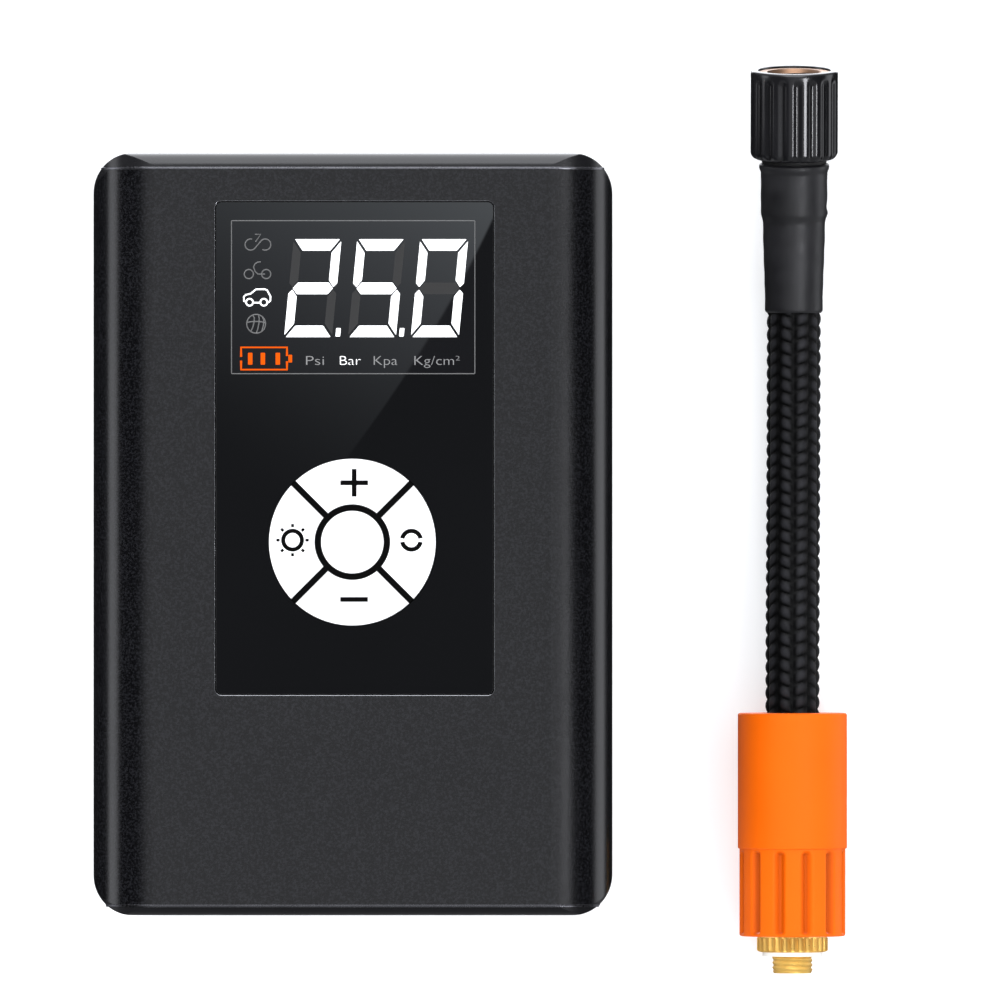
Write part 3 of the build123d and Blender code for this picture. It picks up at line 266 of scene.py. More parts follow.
def tube(name, points, radii, material, body, count, height):
    """A capped tube that follows points, given one radius each in mm; height adds relief by (along, angle).

    The UV map holds the depth below that radius, so that a paint can put painted shade into what lies deep.
    """
    lengths = [0.0]
    for before, after in zip(points, points[1:]):
        lengths.append(lengths[-1] + (after - before).length / MM)
    verts, uvs = [], []
    for i, point in enumerate(points):
        ahead = (points[min(i + 1, len(points) - 1)] - points[max(i - 1, 0)]).normalized()
        side = Vector((1, 0, 0)) - ahead * ahead.x
        side.normalize()
        third = ahead.cross(side)
        for j in range(count):
            angle = 2 * math.pi * j / count
            r = radii[i] + height(lengths[i], angle)
            verts.append(point + (side * math.cos(angle) + third * math.sin(angle)) * r * MM)
            uvs.append((radii[i] - r, angle / math.tau))
    faces = bands(len(points), count, False)
    faces.append(tuple(reversed(range(count))))
    faces.append(tuple(range(len(verts) - count, len(verts))))
    return piece(name, verts, faces, material, body, uvs)


def prisms(name, outlines, low, high, material, body, edge=0.0):
    """Flat outlines in mm, drawn on the front, stood up from low to high with a small bevel."""
    mesh = bmesh.new()
    for outline in outlines:
        ring = [mesh.verts.new((x * MM, y * MM, low)) for x, y in outline]
        top = bmesh.ops.extrude_face_region(mesh, geom=[mesh.faces.new(ring)])["geom"]
        bmesh.ops.translate(mesh, verts=[v for v in top if isinstance(v, bmesh.types.BMVert)],
                            vec=(0, 0, high - low))
    bmesh.ops.recalc_face_normals(mesh, faces=mesh.faces)
    if edge:
        rim = [e for e in mesh.edges if all(abs(v.co.z - high) < TINY for v in e.verts)]
        bmesh.ops.bevel(mesh, geom=rim, offset=edge * MM, segments=2, affect="EDGES")
    data = bpy.data.meshes.new(name)
    mesh.to_mesh(data)
    mesh.free()
    data.materials.append(material)
    return placed(name, data, body)


def line_art(name, strokes, width, z, material, body):
    """Round-section lines through points in mm on the front, half sunk at height z."""
    curve = bpy.data.curves.new(name, "CURVE")
    curve.dimensions = "3D"
    curve.bevel_depth, curve.bevel_resolution, curve.use_fill_caps = width / 2 * MM, 2, True
    for points, closed in strokes:
        spline = curve.splines.new("POLY")
        spline.points.add(len(points) - 1)
        for slot, (x, y) in zip(spline.points, points):
            slot.co = (x * MM, y * MM, z, 1.0)
        spline.use_cyclic_u = closed
    shape = bpy.data.objects.new(name + "_line", curve)
    mesh = bpy.data.meshes.new_from_object(shape)
    bpy.data.objects.remove(shape)
    mesh.name = name
    mesh.materials.clear()
    mesh.materials.append(material)
    mesh.shade_smooth()
    return placed(name, mesh, body)


def circle(x, y, radius, count=28, start=0.0, sweep=360.0):
    """Points round a circle or an arc, in mm, angles in degrees."""
    steps = count if sweep == 360.0 else count - 1
    angles = [math.radians(start + sweep * i / steps) for i in range(count)]
    return [(x + radius * math.cos(a), y + radius * math.sin(a)) for a in angles]


def paint_node(node, material):
    """Gives a CAD node a finished material."""
    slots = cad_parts[node].data.materials
    slots.clear()
    slots.append(material)


# ------------------------------------------------------------------ air hose, first of the pieces
HOSE_D = 8.74
GRIP_AXIS = Vector((71.6, 0.0, 8.95)) * MM
CHUCK_AT = Vector((71.92, 61.34, 7.09)) * MM
CHUCK_TILT = math.radians(8.0)
CHUCK_AXIS = Vector((0.0, math.cos(CHUCK_TILT), math.sin(CHUCK_TILT)))
SLEEVE_FOOT_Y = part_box("hose_sleeve")[0].y
GRIP_LOW, GRIP_HIGH = (corner.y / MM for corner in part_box("hose_grip"))
HOSE_ROUTE = [
    (71.6, -37.0, 8.95),
    (71.6, -20.0, 8.95),
    (71.75, -3.0, 5.8),
    (71.85, 14.0, 4.47),
    (71.9, 31.0, 4.62),
    (71.92, 46.0, 4.934),
    (71.92, 57.6, 6.564),
]


def smooth_line(route):
    """Points read from one smooth curve with the route as its control points."""
    curve = bpy.data.curves.new("hose_line", "CURVE")
    curve.dimensions = "3D"
    spline = curve.splines.new("NURBS")
    spline.points.add(len(route) - 1)
    for slot, point in zip(spline.points, route):
        slot.co = (*(Vector(point) * MM), 1.0)
    spline.order_u = 3
    spline.use_endpoint_u = True
    curve.resolution_u = 64
    holder = bpy.data.objects.new("hose_line", curve)
    mesh = bpy.data.meshes.new_from_object(holder)
    points = [v.co.copy() for v in mesh.vertices]
    bpy.data.objects.remove(holder)
    return points


def resample(points, places):
    """Points at these distances along a line, in mm."""
    result, i, walked = [], 0, 0.0
    for place in places:
        step = (points[i + 1] - points[i]).length / MM
        while i < len(points) - 2 and walked + step < place:
            walked += step
            i += 1
            step = (points[i + 1] - points[i]).length / MM
        result.append(points[i].lerp(points[i + 1], min(1.0, (place - walked) / step)))
    return result


def line_length(points):
    return sum((b - a).length for a, b in zip(points, points[1:])) / MM


def place_at(points, y):
    """Distance along the line, in mm, at which it reaches this Y."""
    walked = 0.0
    for a, b in zip(points, points[1:]):
        if b.y >= y:
            return walked + (b - a).length / MM * (y - a.y) / (b.y - a.y)
        walked += (b - a).length / MM
    return walked


BRAID_COLUMNS, BRAID_PERIOD, BRAID_RELIEF = 10, 2.1, 0.42
BRAID_SLANT, BRAID_OFFSET = 0.24, 0.27          # of the strands, and of every second column, in periods


def braid_cell(along, angle):
    """Where a point lies in its braid cell: side column, across -1..1, and along -0.5..0.5."""
    column = angle / math.tau * BRAID_COLUMNS + 0.5
    index = math.floor(column)
    across = 2 * (column - index) - 1
    lean = 1 if index % 2 else -1
    cell = along / BRAID_PERIOD + lean * across * BRAID_SLANT + (BRAID_OFFSET if index % 2 else 0.0)
    return index, across, cell - math.floor(cell) - 0.5


def braid_height(along, angle):
    """Relief of the braid: rounded strands that dive under each other at the column edges."""
    _, across, cell = braid_cell(along, angle)
    strand = max(0.0, 1 - (2 * cell) ** 2) ** 0.8
    crown = max(0.0, 1 - abs(across) ** 2.2) ** 0.8
    return BRAID_RELIEF * (strand * (0.25 + 0.75 * crown) * crown - 1.0)


def braid_material():
    """Black yarn: matt, with painted shade between the strands, and fine filaments along them."""
    paint = Paint("braid_yarn", grey(0.02, 1.1), 0.5)
    fibre = paint.noise(5200.0, 4.0, (1.0, 0.35, 1.0))
    tone = paint.noise(350.0, 3.0)
    paint.shade(paint.ramp(tone, 0.3, 0.7, 0.0, 1.0), grey(0.013, 1.15), grey(0.021, 1.15))
    # painted shade: the yarn is darkened deep between the strands
    paint.paint_groove_shade(0.26, 0.03)
    paint.set("Specular IOR Level", 0.12)
    paint.set("Sheen Weight", 0.04)
    paint.set("Sheen Roughness", 0.4)
    return paint.bump(fibre, 0.55, 0.00005).material


hose_points = smooth_line(HOSE_ROUTE)
hose_length = line_length(hose_points)
bare_start = place_at(hose_points, (GRIP_HIGH - 1.0) * MM)
bare_end = place_at(hose_points, SLEEVE_FOOT_Y + 1.5 * MM)
RING_STEP, STEPS_IN_GRIP, STEPS_IN_SLEEVE = 0.19, 10, 24
steps = int((bare_end - bare_start) / RING_STEP)
places = [bare_start * i / STEPS_IN_GRIP for i in range(STEPS_IN_GRIP)]
places += [bare_start + (bare_end - bare_start) * i / steps for i in range(steps)]
places += [bare_end + (hose_length - bare_end) * i / STEPS_IN_SLEEVE for i in range(STEPS_IN_SLEEVE + 1)]
hose_path = resample(hose_points, places)


def hose_relief(along, angle):
    """Braid where it shows, a plain round hose under the grip and the sleeve."""
    hidden = along < bare_start or along > bare_end
    return -BRAID_RELIEF / 2 if hidden else braid_height(along, angle)


CREST_R, HOSE_SIDES = HOSE_D / 2 + 0.06, 200
air_hose = tube("air_hose_braid", hose_path, [CREST_R] * len(hose_path), braid_material(), "hose", HOSE_SIDES,
                hose_relief)
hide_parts("air_hose")


def blend(value, start, end):
    """0 below start, 1 above end, smooth between."""
    t = min(1.0, max(0.0, (value - start) / (end - start)))
    return t * t * (3 - 2 * t)


def groove(angle, count, radius, half_width, depth, phase):
    """Depth in mm of one of count rounded grooves round a surface of this radius."""
    pitch = math.tau / count
    off = abs((angle - phase + pitch / 2) % pitch - pitch / 2) * radius
    return depth * (0.5 + 0.5 * math.cos(math.pi * off / half_width)) if off < half_width else 0.0


def round_edge(along, radius, size, turn, count=6):
    """Profile points round an outer edge; turn 1 climbs from the end face, -1 goes back down to one."""
    points = []
    for i in range(count + 1):
        a = math.pi / 2 * i / count
        if turn > 0:
            points.append((along + size * (1 - math.cos(a)), radius - size + size * math.sin(a)))
        else:
            points.append((along - size * (1 - math.sin(a)), radius - size + size * math.cos(a)))
    return points


def rows(start, end, step):
    """Even places from start to end, about a step apart."""
    count = max(1, round(abs(end - start) / step))
    return [start + (end - start) * i / count for i in range(count + 1)]


# heat-shrink sleeve: clings to the hose, fat over the nipple, lip under the collar
SLEEVE_STEPS = 90
sleeve_from = place_at(hose_points, SLEEVE_FOOT_Y)
sleeve_places = [sleeve_from + i * (hose_length - sleeve_from) / SLEEVE_STEPS for i in range(SLEEVE_STEPS + 1)]
sleeve_path = resample(hose_points, sleeve_places)
sleeve_tip = (sleeve_path[-1] - CHUCK_AT).dot(CHUCK_AXIS) / MM
SLEEVE_END_U = -0.62
sleeve_path += [CHUCK_AT + CHUCK_AXIS * u * MM for u in rows(sleeve_tip, SLEEVE_END_U, 0.15)[1:]]


def sleeve_radius(point):
    """Radius in mm of the sleeve at a point of its path."""
    u = (point - CHUCK_AT).dot(CHUCK_AXIS) / MM
    foot = (point.y - SLEEVE_FOOT_Y) / MM
    radius = 4.72 + 0.36 * blend(foot, 0.5, 15.0)
    radius += 0.36 * blend(u, -10.6, -8.6)
    radius += 0.30 * blend(u, -2.3, -1.3)
    radius -= 0.30 * (1 - min(1.0, foot / 0.45)) ** 2
    return radius - 0.55 * blend(u, -1.05, -0.6) ** 2


def sleeve_relief(along, angle):
    """Faint waves of the shrunk film, and one wrinkle on its right where it steps up."""
    right = max(0.0, math.cos(angle - 0.35)) ** 6
    near = math.exp(-((along - 16.3) / 0.55) ** 2) - 0.8 * math.exp(-((along - 17.5) / 0.6) ** 2)
    return 0.02 * math.sin(along * 1.7 + 2 * math.sin(angle)) + 0.16 * right * near


shrink = Paint("shrink_film", grey(0.030, 1.05), 0.42)
shrink.rough(shrink.noise(420.0, 4.0), 0.40, 0.52)
shrink.shade(shrink.ramp(shrink.noise(160.0, 3.0), 0.35, 0.7, 0.0, 1.0), grey(0.006, 1.15), grey(0.011, 1.15))
shrink.bump(shrink.noise(1500.0, 5.0), 0.18, 0.00006)
shrink_sleeve = tube("shrink_sleeve", sleeve_path, [sleeve_radius(p) for p in sleeve_path], shrink.material,
                     "hose", 96, sleeve_relief)
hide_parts("hose_sleeve")

# collar of the chuck
COLLAR_R, COLLAR_L, COLLAR_CORE = 7.14, 14.64, 5.95
COLLAR_FLUTES = dict(count=18, radius=COLLAR_R, half_width=1.02, depth=0.31, phase=math.radians(13.7))


def collar_shape(along, radius, angle):
    """Flutes along the outside that run out before the open rim."""
    if radius < COLLAR_CORE:
        return radius
    live = (radius - COLLAR_CORE) / (COLLAR_R - COLLAR_CORE) * (1 - blend(along, 12.9, 13.4))
    return radius - live * groove(angle, **COLLAR_FLUTES)


collar_profile = [(0.0, 3.65), (0.0, 4.6)]
collar_profile += round_edge(0.0, COLLAR_R, 1.2, 1, 8)
collar_profile += [(u, COLLAR_R) for u in rows(1.3, 13.9, 0.35)]
collar_profile += round_edge(COLLAR_L, COLLAR_R, 0.55, -1, 5)
collar_profile += [(COLLAR_L, 6.1), (COLLAR_L - 0.08, 5.97), (COLLAR_L - 0.25, 5.91), (2.0, 5.91), (2.0, 3.65)]
# painted shade: the collar's flutes are darkened in their grooves
collar_black = plastic("collar_black", grey(0.006, 1.15), 0.2, grain=900.0, change=0.25, cut=(0.5, 0.3))
collar = lathe("collar_shell", CHUCK_AT, CHUCK_AXIS, collar_profile, collar_black, "chuck", 432, collar_shape)
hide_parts("chuck_collar")
neck = lathe("neck_ring", CHUCK_AT, CHUCK_AXIS,
             [(-1.2, 4.6), (-0.75, 5.15), (-0.5, 5.3), (-0.02, 5.3), (-0.02, 3.62), (-1.2, 3.62)],
             rubber("neck_rubber", grey(0.004), 0.6), "hose")

# threaded brass of both ends
TURNED = (1.0, 18.0, 18.0)                      # stretch of the marks of a lathe
brass = metal("brass_turned", (0.80, 0.50, 0.12), 0.38, TURNED, 260.0, 0.65)
VALVE_CREST, VALVE_ROOT, VALVE_PITCH = 3.95, 4.28, 0.79


def helix(along, angle, pitch):
    """0 at the crest of a thread, 1 at its root."""
    turn = along / pitch + angle / math.tau
    return abs(2 * (turn - math.floor(turn)) - 1)


def insert_shape(along, radius, angle):
    """The inside thread for a tyre valve."""
    if radius > VALVE_CREST + 0.01:
        return radius
    return radius + (VALVE_ROOT - VALVE_CREST) * helix(along, angle, VALVE_PITCH)


insert_profile = [(4.5, 5.88), (14.1, 5.88), (14.3, 5.7), (14.3, 4.5), (13.82, VALVE_CREST)]
insert_profile += [(u, VALVE_CREST) for u in rows(13.75, 7.4, 0.09)]
insert_profile += [(7.4, 4.25), (4.5, 4.25)]
insert = lathe("valve_thread", CHUCK_AT, CHUCK_AXIS, insert_profile,
               metal("brass_worn", (0.27, 0.16, 0.10), 0.42, TURNED, 260.0), "chuck", 96, insert_shape)
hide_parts("chuck_insert")

PLUG_AT = (GRIP_AXIS.x, GRIP_LOW * MM, GRIP_AXIS.z)
DOWN = Vector((0.0, -1.0, 0.0))
RING_L, WASHER_T, STUB_R, STUB_TO, STUB_PITCH = 2.62, 0.64, 3.32, 6.06, 0.79
RING_TEETH = 30


def plug_shape(along, radius, angle):
    """Knurl round the ring and a thread on the stub."""
    if 0.2 < along < RING_L - 0.2 and radius > 5.0:
        return radius - 0.42 * abs(math.sin(angle * RING_TEETH / 2)) ** 0.8
    if along > RING_L + WASHER_T + 0.2 and radius > 3.2:
        return radius - 0.26 * helix(along, angle, STUB_PITCH)
    return radius


plug_profile = [(-15.7, 3.55), (-0.02, 3.55), (0.0, 5.3), (0.12, 5.55)]
plug_profile += [(u, 5.8) for u in rows(0.3, RING_L - 0.3, 0.2)]
plug_profile += [(RING_L - 0.12, 5.55), (RING_L, 5.2), (RING_L, 3.1), (RING_L + WASHER_T, 3.1)]
plug_profile += [(u, STUB_R) for u in rows(RING_L + WASHER_T + 0.05, STUB_TO - 0.3, 0.08)]
plug_profile += [(STUB_TO, 3.05), (STUB_TO, 1.4), (STUB_TO - 0.15, 1.3), (-15.7, 1.3)]
plug = lathe("plug_brass", PLUG_AT, DOWN, plug_profile, brass, "hose", 240, plug_shape)
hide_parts("hose_plug")

# orange grip
GRIP_R, FLUTED_R, GRIP_L = 8.92, 8.65, GRIP_HIGH - GRIP_LOW
SMOOTH_FROM = GRIP_L - 22.18
GRIP_FLUTES = dict(count=12, radius=FLUTED_R, half_width=1.2, depth=0.95, phase=math.radians(15))


def grip_shape(along, radius, angle):
    """Flutes along the half of the grip that is next to the pump."""
    if along > SMOOTH_FROM or radius < 7.5:
        return radius
    live = blend(along, 0.2, 0.9) * (1 - blend(along, SMOOTH_FROM - 0.9, SMOOTH_FROM - 0.25))
    return radius - live * groove(angle, **GRIP_FLUTES)


grip_profile = [(0.0, 3.62), (0.0, 7.2)]
grip_profile += round_edge(0.0, FLUTED_R, 0.35, 1, 4)
grip_profile += [(u, FLUTED_R) for u in rows(0.5, SMOOTH_FROM - 0.2, 0.3)]
grip_profile += [(SMOOTH_FROM, FLUTED_R)]
grip_profile += round_edge(SMOOTH_FROM, GRIP_R, 0.22, 1, 5)
grip_profile += [(u, GRIP_R) for u in rows(SMOOTH_FROM + 0.5, GRIP_L - 0.6, 1.0)]
grip_profile += round_edge(GRIP_L, GRIP_R, 0.4, -1, 6)
grip_profile += [(GRIP_L, 5.1), (GRIP_L - 0.2, 4.7), (GRIP_L - 0.7, 4.5), (GRIP_L - 7.0, 4.5), (GRIP_L - 7.0, 3.62)]
# painted shade: the grip's flutes are darkened in their grooves
grip_orange = plastic("grip_orange", (0.78, 0.118, 0.001), 0.5, 1600.0, 0.000015, 0.03, (0.8, 0.66),
                      Specular_IOR_Level=0.12)
grip = lathe("grip_moulding", PLUG_AT, -DOWN, grip_profile, grip_orange, "hose", 360, grip_shape)
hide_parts("hose_grip")
grip.visible_glossy = False


# ------------------------------------------------------------------ light and surroundings
class Maths:
    """Maths nodes of one node tree; a value is a number or a socket."""

    def __init__(self, tree):
        self.tree = tree

    def node(self, operation, *values):
        node = self.tree.nodes.new("ShaderNodeMath")
        node.operation = operation
        for socket, value in zip(node.inputs, values):
            if isinstance(value, (int, float)):
                socket.default_value = value
            else:
                self.tree.links.new(value, socket)
        return node.outputs[0]

    def product(self, *values):
        return reduce(partial(self.node, "MULTIPLY"), values)

    def total(self, *values):
        return reduce(partial(self.node, "ADD"), values)

    def size(self, value):
        return self.node("ABSOLUTE", value)

    def step(self, value, start, end):
        """0 before start to 1 after end, smooth between; start may be above end."""
        node = self.tree.nodes.new("ShaderNodeMapRange")
        node.interpolation_type = "SMOOTHSTEP"
        node.inputs["From Min"].default_value = min(start, end)
        node.inputs["From Max"].default_value = max(start, end)
        node.inputs["To Min"].default_value = float(start > end)
        node.inputs["To Max"].default_value = float(start < end)
        self.tree.links.new(value, node.inputs["Value"])
        return node.outputs["Result"]

    def coordinates(self, kind):
        split = self.tree.nodes.new("ShaderNodeSeparateXYZ")
        self.tree.links.new(self.tree.nodes.new("ShaderNodeTexCoord").outputs[kind], split.inputs[0])
        return split.outputs


# strengths of the studio's lights as they are mirrored, and of its white as seen and as soft light
OVERHEAD, LEFT_STRIP, RIGHT_STRIP, WINDOW, LAMP = 0.84, 2.1, 1.7, 3.9, 22.0
FRONT, CORNERS, EVERYWHERE = 0.35, 0.4, 0.02
WHITE_SEEN, WHITE_SOFT = 0.86, 0.95


def studio():
    """A studio by direction: a light overhead, low strips at the sides, a window past the outlet end."""
    world = bpy.data.worlds.new("studio")
    scene.world = world
    world.use_nodes = True
    tree = world.node_tree
    calc = Maths(tree)
    x, y, z = calc.coordinates("Generated")
    across, along = calc.size(x), calc.size(y)
    narrow = calc.step(across, 0.45, 0.32)

    above = calc.step(calc.total(calc.product(z, 0.989), calc.product(x, 0.148)), 0.70, 0.985)
    overhead = calc.product(above, above, OVERHEAD)
    left = calc.product(calc.step(z, -0.14, -0.04), calc.step(z, 0.31, 0.22), calc.step(x, -0.55, -0.8), LEFT_STRIP)
    right = calc.product(calc.step(z, -0.56, -0.39), calc.step(z, 0.04, -0.1), calc.step(x, 0.45, 0.7), RIGHT_STRIP)
    strips = calc.product(calc.total(left, right), calc.step(along, 0.45, 0.3))
    pane = calc.product(calc.step(y, 0.36, 0.5), calc.step(z, -0.8, -0.6))
    under = calc.product(calc.step(y, 0.12, 0.25), calc.step(z, -0.6, -0.75))
    window = calc.product(calc.total(pane, under), narrow, WINDOW)
    front = calc.product(calc.step(y, -0.4, -0.6), narrow, FRONT)
    corners = calc.product(calc.step(across, 0.32, 0.5), calc.step(along, 0.32, 0.5), CORNERS)
    # a slim lamp that only the tilted chuck mirrors, as bright lines down its collar
    aside = calc.size(calc.total(calc.product(x, 0.873), calc.product(z, -0.488)))
    ahead = calc.size(calc.total(y, 0.236))
    lamp = calc.product(calc.step(aside, 0.11, 0.08), calc.step(ahead, 0.1, 0.07), calc.step(z, 0.5, 0.6), LAMP)

    mirrored = calc.total(overhead, strips, window, front, corners, lamp, EVERYWHERE)
    rays = tree.nodes.new("ShaderNodeLightPath").outputs
    camera_ray, soft_ray = rays["Is Camera Ray"], rays["Is Diffuse Ray"]
    plain = calc.node("MAXIMUM", calc.product(camera_ray, WHITE_SEEN), calc.product(soft_ray, WHITE_SOFT))
    other_ray = calc.node("SUBTRACT", 1.0, calc.node("MAXIMUM", camera_ray, soft_ray))
    shade = tree.nodes["Background"]
    shade.inputs["Color"].default_value = (0.94, 0.955, 1.0, 1.0)
    tree.links.new(calc.total(plain, calc.product(mirrored, other_ray)), shade.inputs["Strength"])


def softbox(name, place, target, size, power):
    """A large area light that lights surfaces but doesn't show in them."""
    data = bpy.data.lights.new(name, "AREA")
    data.shape, data.size, data.energy = "SQUARE", size, power
    light = bpy.data.objects.new(name, data)
    light.location = place
    light.rotation_euler = (Vector(target) - Vector(place)).to_track_quat("-Z", "Y").to_euler()
    light.visible_glossy = False
    scene.collection.objects.link(light)


FLOOR_GLOW, FLOOR_HALF, FLOOR_Z = 0.5, 6.0, -0.0001


def floor():
    """Pale seamless floor, lit from below as on a light table."""
    paint = Paint("floor_paper", (0.60, 0.602, 0.606), 0.9)
    paint.shade(paint.noise(5.0, 3.0), (0.59, 0.592, 0.596), (0.61, 0.612, 0.616))
    paint.set("Emission Color", (0.97, 0.985, 1.0, 1.0))
    paint.set("Emission Strength", FLOOR_GLOW)
    paint.bump(paint.noise(900.0, 5.0), 0.05, 0.00005)
    mesh = bpy.data.meshes.new("floor")
    corners = [(x * FLOOR_HALF, y * FLOOR_HALF, 0) for x, y in ((-1, -1), (1, -1), (1, 1), (-1, 1))]
    mesh.from_pydata(corners, [], [(0, 1, 2, 3)])
    mesh.materials.append(paint.material)
    obj = bpy.data.objects.new("floor", mesh)
    obj.location.z = FLOOR_Z
    obj.visible_glossy = False
    scene.collection.objects.link(obj)


CARD_HEIGHT = 1.2
CARD_CORNERS = [(-24, -32), (24, -32), (24, 58), (-24, 58)]          # as mirrored at the panel, in mm
# the slanting edge crosses the panel at x = EDGE[0] + EDGE[1] d + EDGE[2] d^2, with d = y - EDGE_Y, in mm
EDGE_Y, EDGE, EDGE_SOFT = 24.9, (8.0, 0.6612, -0.003783), 0.3
# left of it the light is the square of (RISE[0] y + RISE[1] x + RISE[2]), over an even CARD_BASE
RISE, CARD_BASE = (0.0175, 0.0105, 0.095), 0.13


def reflection_card():
    """What the glossy panel mirrors: a pale window with a slanting edge, seen only in reflections."""
    share = CARD_HEIGHT / CAMERA_HEIGHT
    centre = Vector((VIEW_X, VIEW_Y))
    verts = []
    for x, y in CARD_CORNERS:
        point = Vector((x, y)) * MM
        point += (point - centre) * share
        verts.append((point.x, point.y, FRONT_Z + CARD_HEIGHT))
    mesh = bpy.data.meshes.new("reflection_card")
    mesh.from_pydata(verts, [], [(3, 2, 1, 0)])
    layer = mesh.uv_layers.new(name="UVMap")
    for loop in mesh.loops:
        layer.data[loop.index].uv = CARD_CORNERS[loop.vertex_index]
    material = bpy.data.materials.new("reflection_card")
    material.use_nodes = True
    tree = material.node_tree
    tree.nodes.remove(tree.nodes["Principled BSDF"])
    calc = Maths(tree)
    x, y, _ = calc.coordinates("UV")
    d = calc.total(y, -EDGE_Y)
    edge = calc.total(calc.product(calc.total(calc.product(d, EDGE[2]), EDGE[1]), d), EDGE[0])
    side = calc.step(calc.node("SUBTRACT", x, edge), EDGE_SOFT, -EDGE_SOFT)
    rise = calc.node("MAXIMUM", calc.total(calc.product(y, RISE[0]), calc.product(x, RISE[1]), RISE[2]), 0.0)
    light = tree.nodes.new("ShaderNodeEmission")
    light.inputs["Color"].default_value = (0.92, 1.0, 1.07, 1.0)
    tree.links.new(calc.total(calc.product(side, rise, rise), CARD_BASE), light.inputs["Strength"])
    tree.links.new(light.outputs[0], tree.nodes["Material Output"].inputs["Surface"])
    mesh.materials.append(material)
    card = bpy.data.objects.new("reflection_card", mesh)
    card.visible_camera = card.visible_diffuse = card.visible_shadow = card.visible_transmission = False
    scene.collection.objects.link(card)


studio()
floor()
reflection_card()
OVER = (VIEW_X, VIEW_Y, 0.0)
softbox("overhead", (VIEW_X, VIEW_Y, 1.0), OVER, 2.4, 14.0)
softbox("from_left", (-0.8, 0.3, 0.7), OVER, 0.6, 8.0)


# ------------------------------------------------------------------ materials of the CAD nodes
def panel_gloss():
    """Polished black panel: nearly even, with the faintest unevenness of a pressed sheet."""
    paint = Paint("panel_gloss", grey(0.002, 1.2), 0.03)
    paint.shade(paint.noise(30.0, 2.0), grey(0.0016, 1.2), grey(0.0024, 1.2))
    paint.rough(paint.noise(60.0, 3.0), 0.002, 0.008)
    return paint.bump(paint.noise(12.0, 1.0), 0.02, 0.0001).material


NODE_MATERIALS = {
    anodised(): ["body_sleeve"],
    plastic("cap_black", grey(0.006, 1.15), 0.26): ["top_cap"],
    # painted shade: the bottom cap has a darker, less glossy copy of the top cap's plastic, for the end that faces
    # down
    plastic("cap_black_shaded", grey(0.005, 1.15), 0.3, Specular_IOR_Level=0.2): ["bottom_cap"],
    panel_gloss(): ["front_panel"],
    plastic("web_black", grey(0.001), 0.5, change=0.15, Specular_IOR_Level=0.05): ["key_web"],
    metal("screw_steel", (0.20, 0.20, 0.21), 0.35, scale=2500.0): [
        "top_cap_screws", "bottom_cap_screws", "board_screws", "frame_screws", "head_screws"],
    plastic("key_white", (0.90, 0.905, 0.915), 0.33, grain=2200.0, depth=0.000008, change=0.01): [
        "key_plus", "key_minus", "key_light", "key_mode", "key_power"],
    metal("steel", (0.56, 0.56, 0.58), 0.3, (1.0, 12.0, 12.0), 300.0): [
        "usb_socket", "motor_can", "motor_armature", "crank_axle", "crank_pin", "wrist_pin", "reed_valve",
        "chuck_pin"],
    plastic("lens_clear", (0.86, 0.90, 0.92), 0.12, change=0.02, Transmission_Weight=0.7): ["lamp_lens"],
    brass: ["outlet_port", "hose_nipple", "motor_pinion"],
    rubber("silicone", grey(0.05), 0.6): ["top_seal_strips", "bottom_seal_strips", "keypad_mat", "outlet_seal",
                                          "air_tube", "chuck_seal", "piston_cup"],
    plastic("moulding", grey(0.03, 1.05), 0.45): ["panel_frame", "battery_holder", "motor_endcap", "gear_frame",
                                                  "connecting_rod", "crank_gear"],
    plastic("switch_black", grey(0.02), 0.4): ["tact_switches", "pressure_sensor"],
    plastic("board_green", (0.012, 0.11, 0.045), 0.4, grain=800.0, change=0.2): ["circuit_board", "lamp_board"],
    plastic("cell_wrap", (0.04, 0.12, 0.42), 0.35, change=0.08): ["battery_cells"],
    metal("magnet", (0.12, 0.12, 0.125), 0.5): ["motor_magnets"],
    metal("bearing", (0.62, 0.62, 0.63), 0.22): ["crank_bearings"],
    metal("aluminium", (0.74, 0.75, 0.77), 0.32, (1.0, 10.0, 1.0), 500.0): ["cylinder", "cylinder_head", "piston"],
    plastic("washer_white", (0.86, 0.86, 0.84), 0.35, change=0.03): ["hose_washer"],
    plastic("display_dark", grey(0.012), 0.5, change=0.2): ["display_module"],
}
for material, nodes in NODE_MATERIALS.items():
    for node in nodes:
        paint_node(node, material)
window = Paint("window_smoke", grey(0.004, 1.2), 0.008)
window.shade(window.noise(40.0, 2.0), grey(0.0030, 1.2), grey(0.0038, 1.2))
paint_node("display_window", window.material)

# ------------------------------------------------------------------ display, printed marks
WINDOW_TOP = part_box("display_window")[1].z
MARK_Z = WINDOW_TOP + 0.00002
LIT_Z, GHOST_Z, LINE_Z = MARK_Z + 0.00006, MARK_Z + 0.00003, MARK_Z + 0.00001
DIGIT_H, DIGIT_W, DIGIT_MID, DIGIT_LEAN = 15.79, 7.72, 7.86, 0.096
DIGIT_BOTTOM, POINT_BOTTOM = 31.80, 31.9
DIGITS = [(-11.0, "abged"), (-0.72, "afgcd"), (9.43, "abcdef")]
BAR_T, POST_T, SPLIT = 1.85, 1.38, 0.25        # widths of level and upright segments, half the dark line between


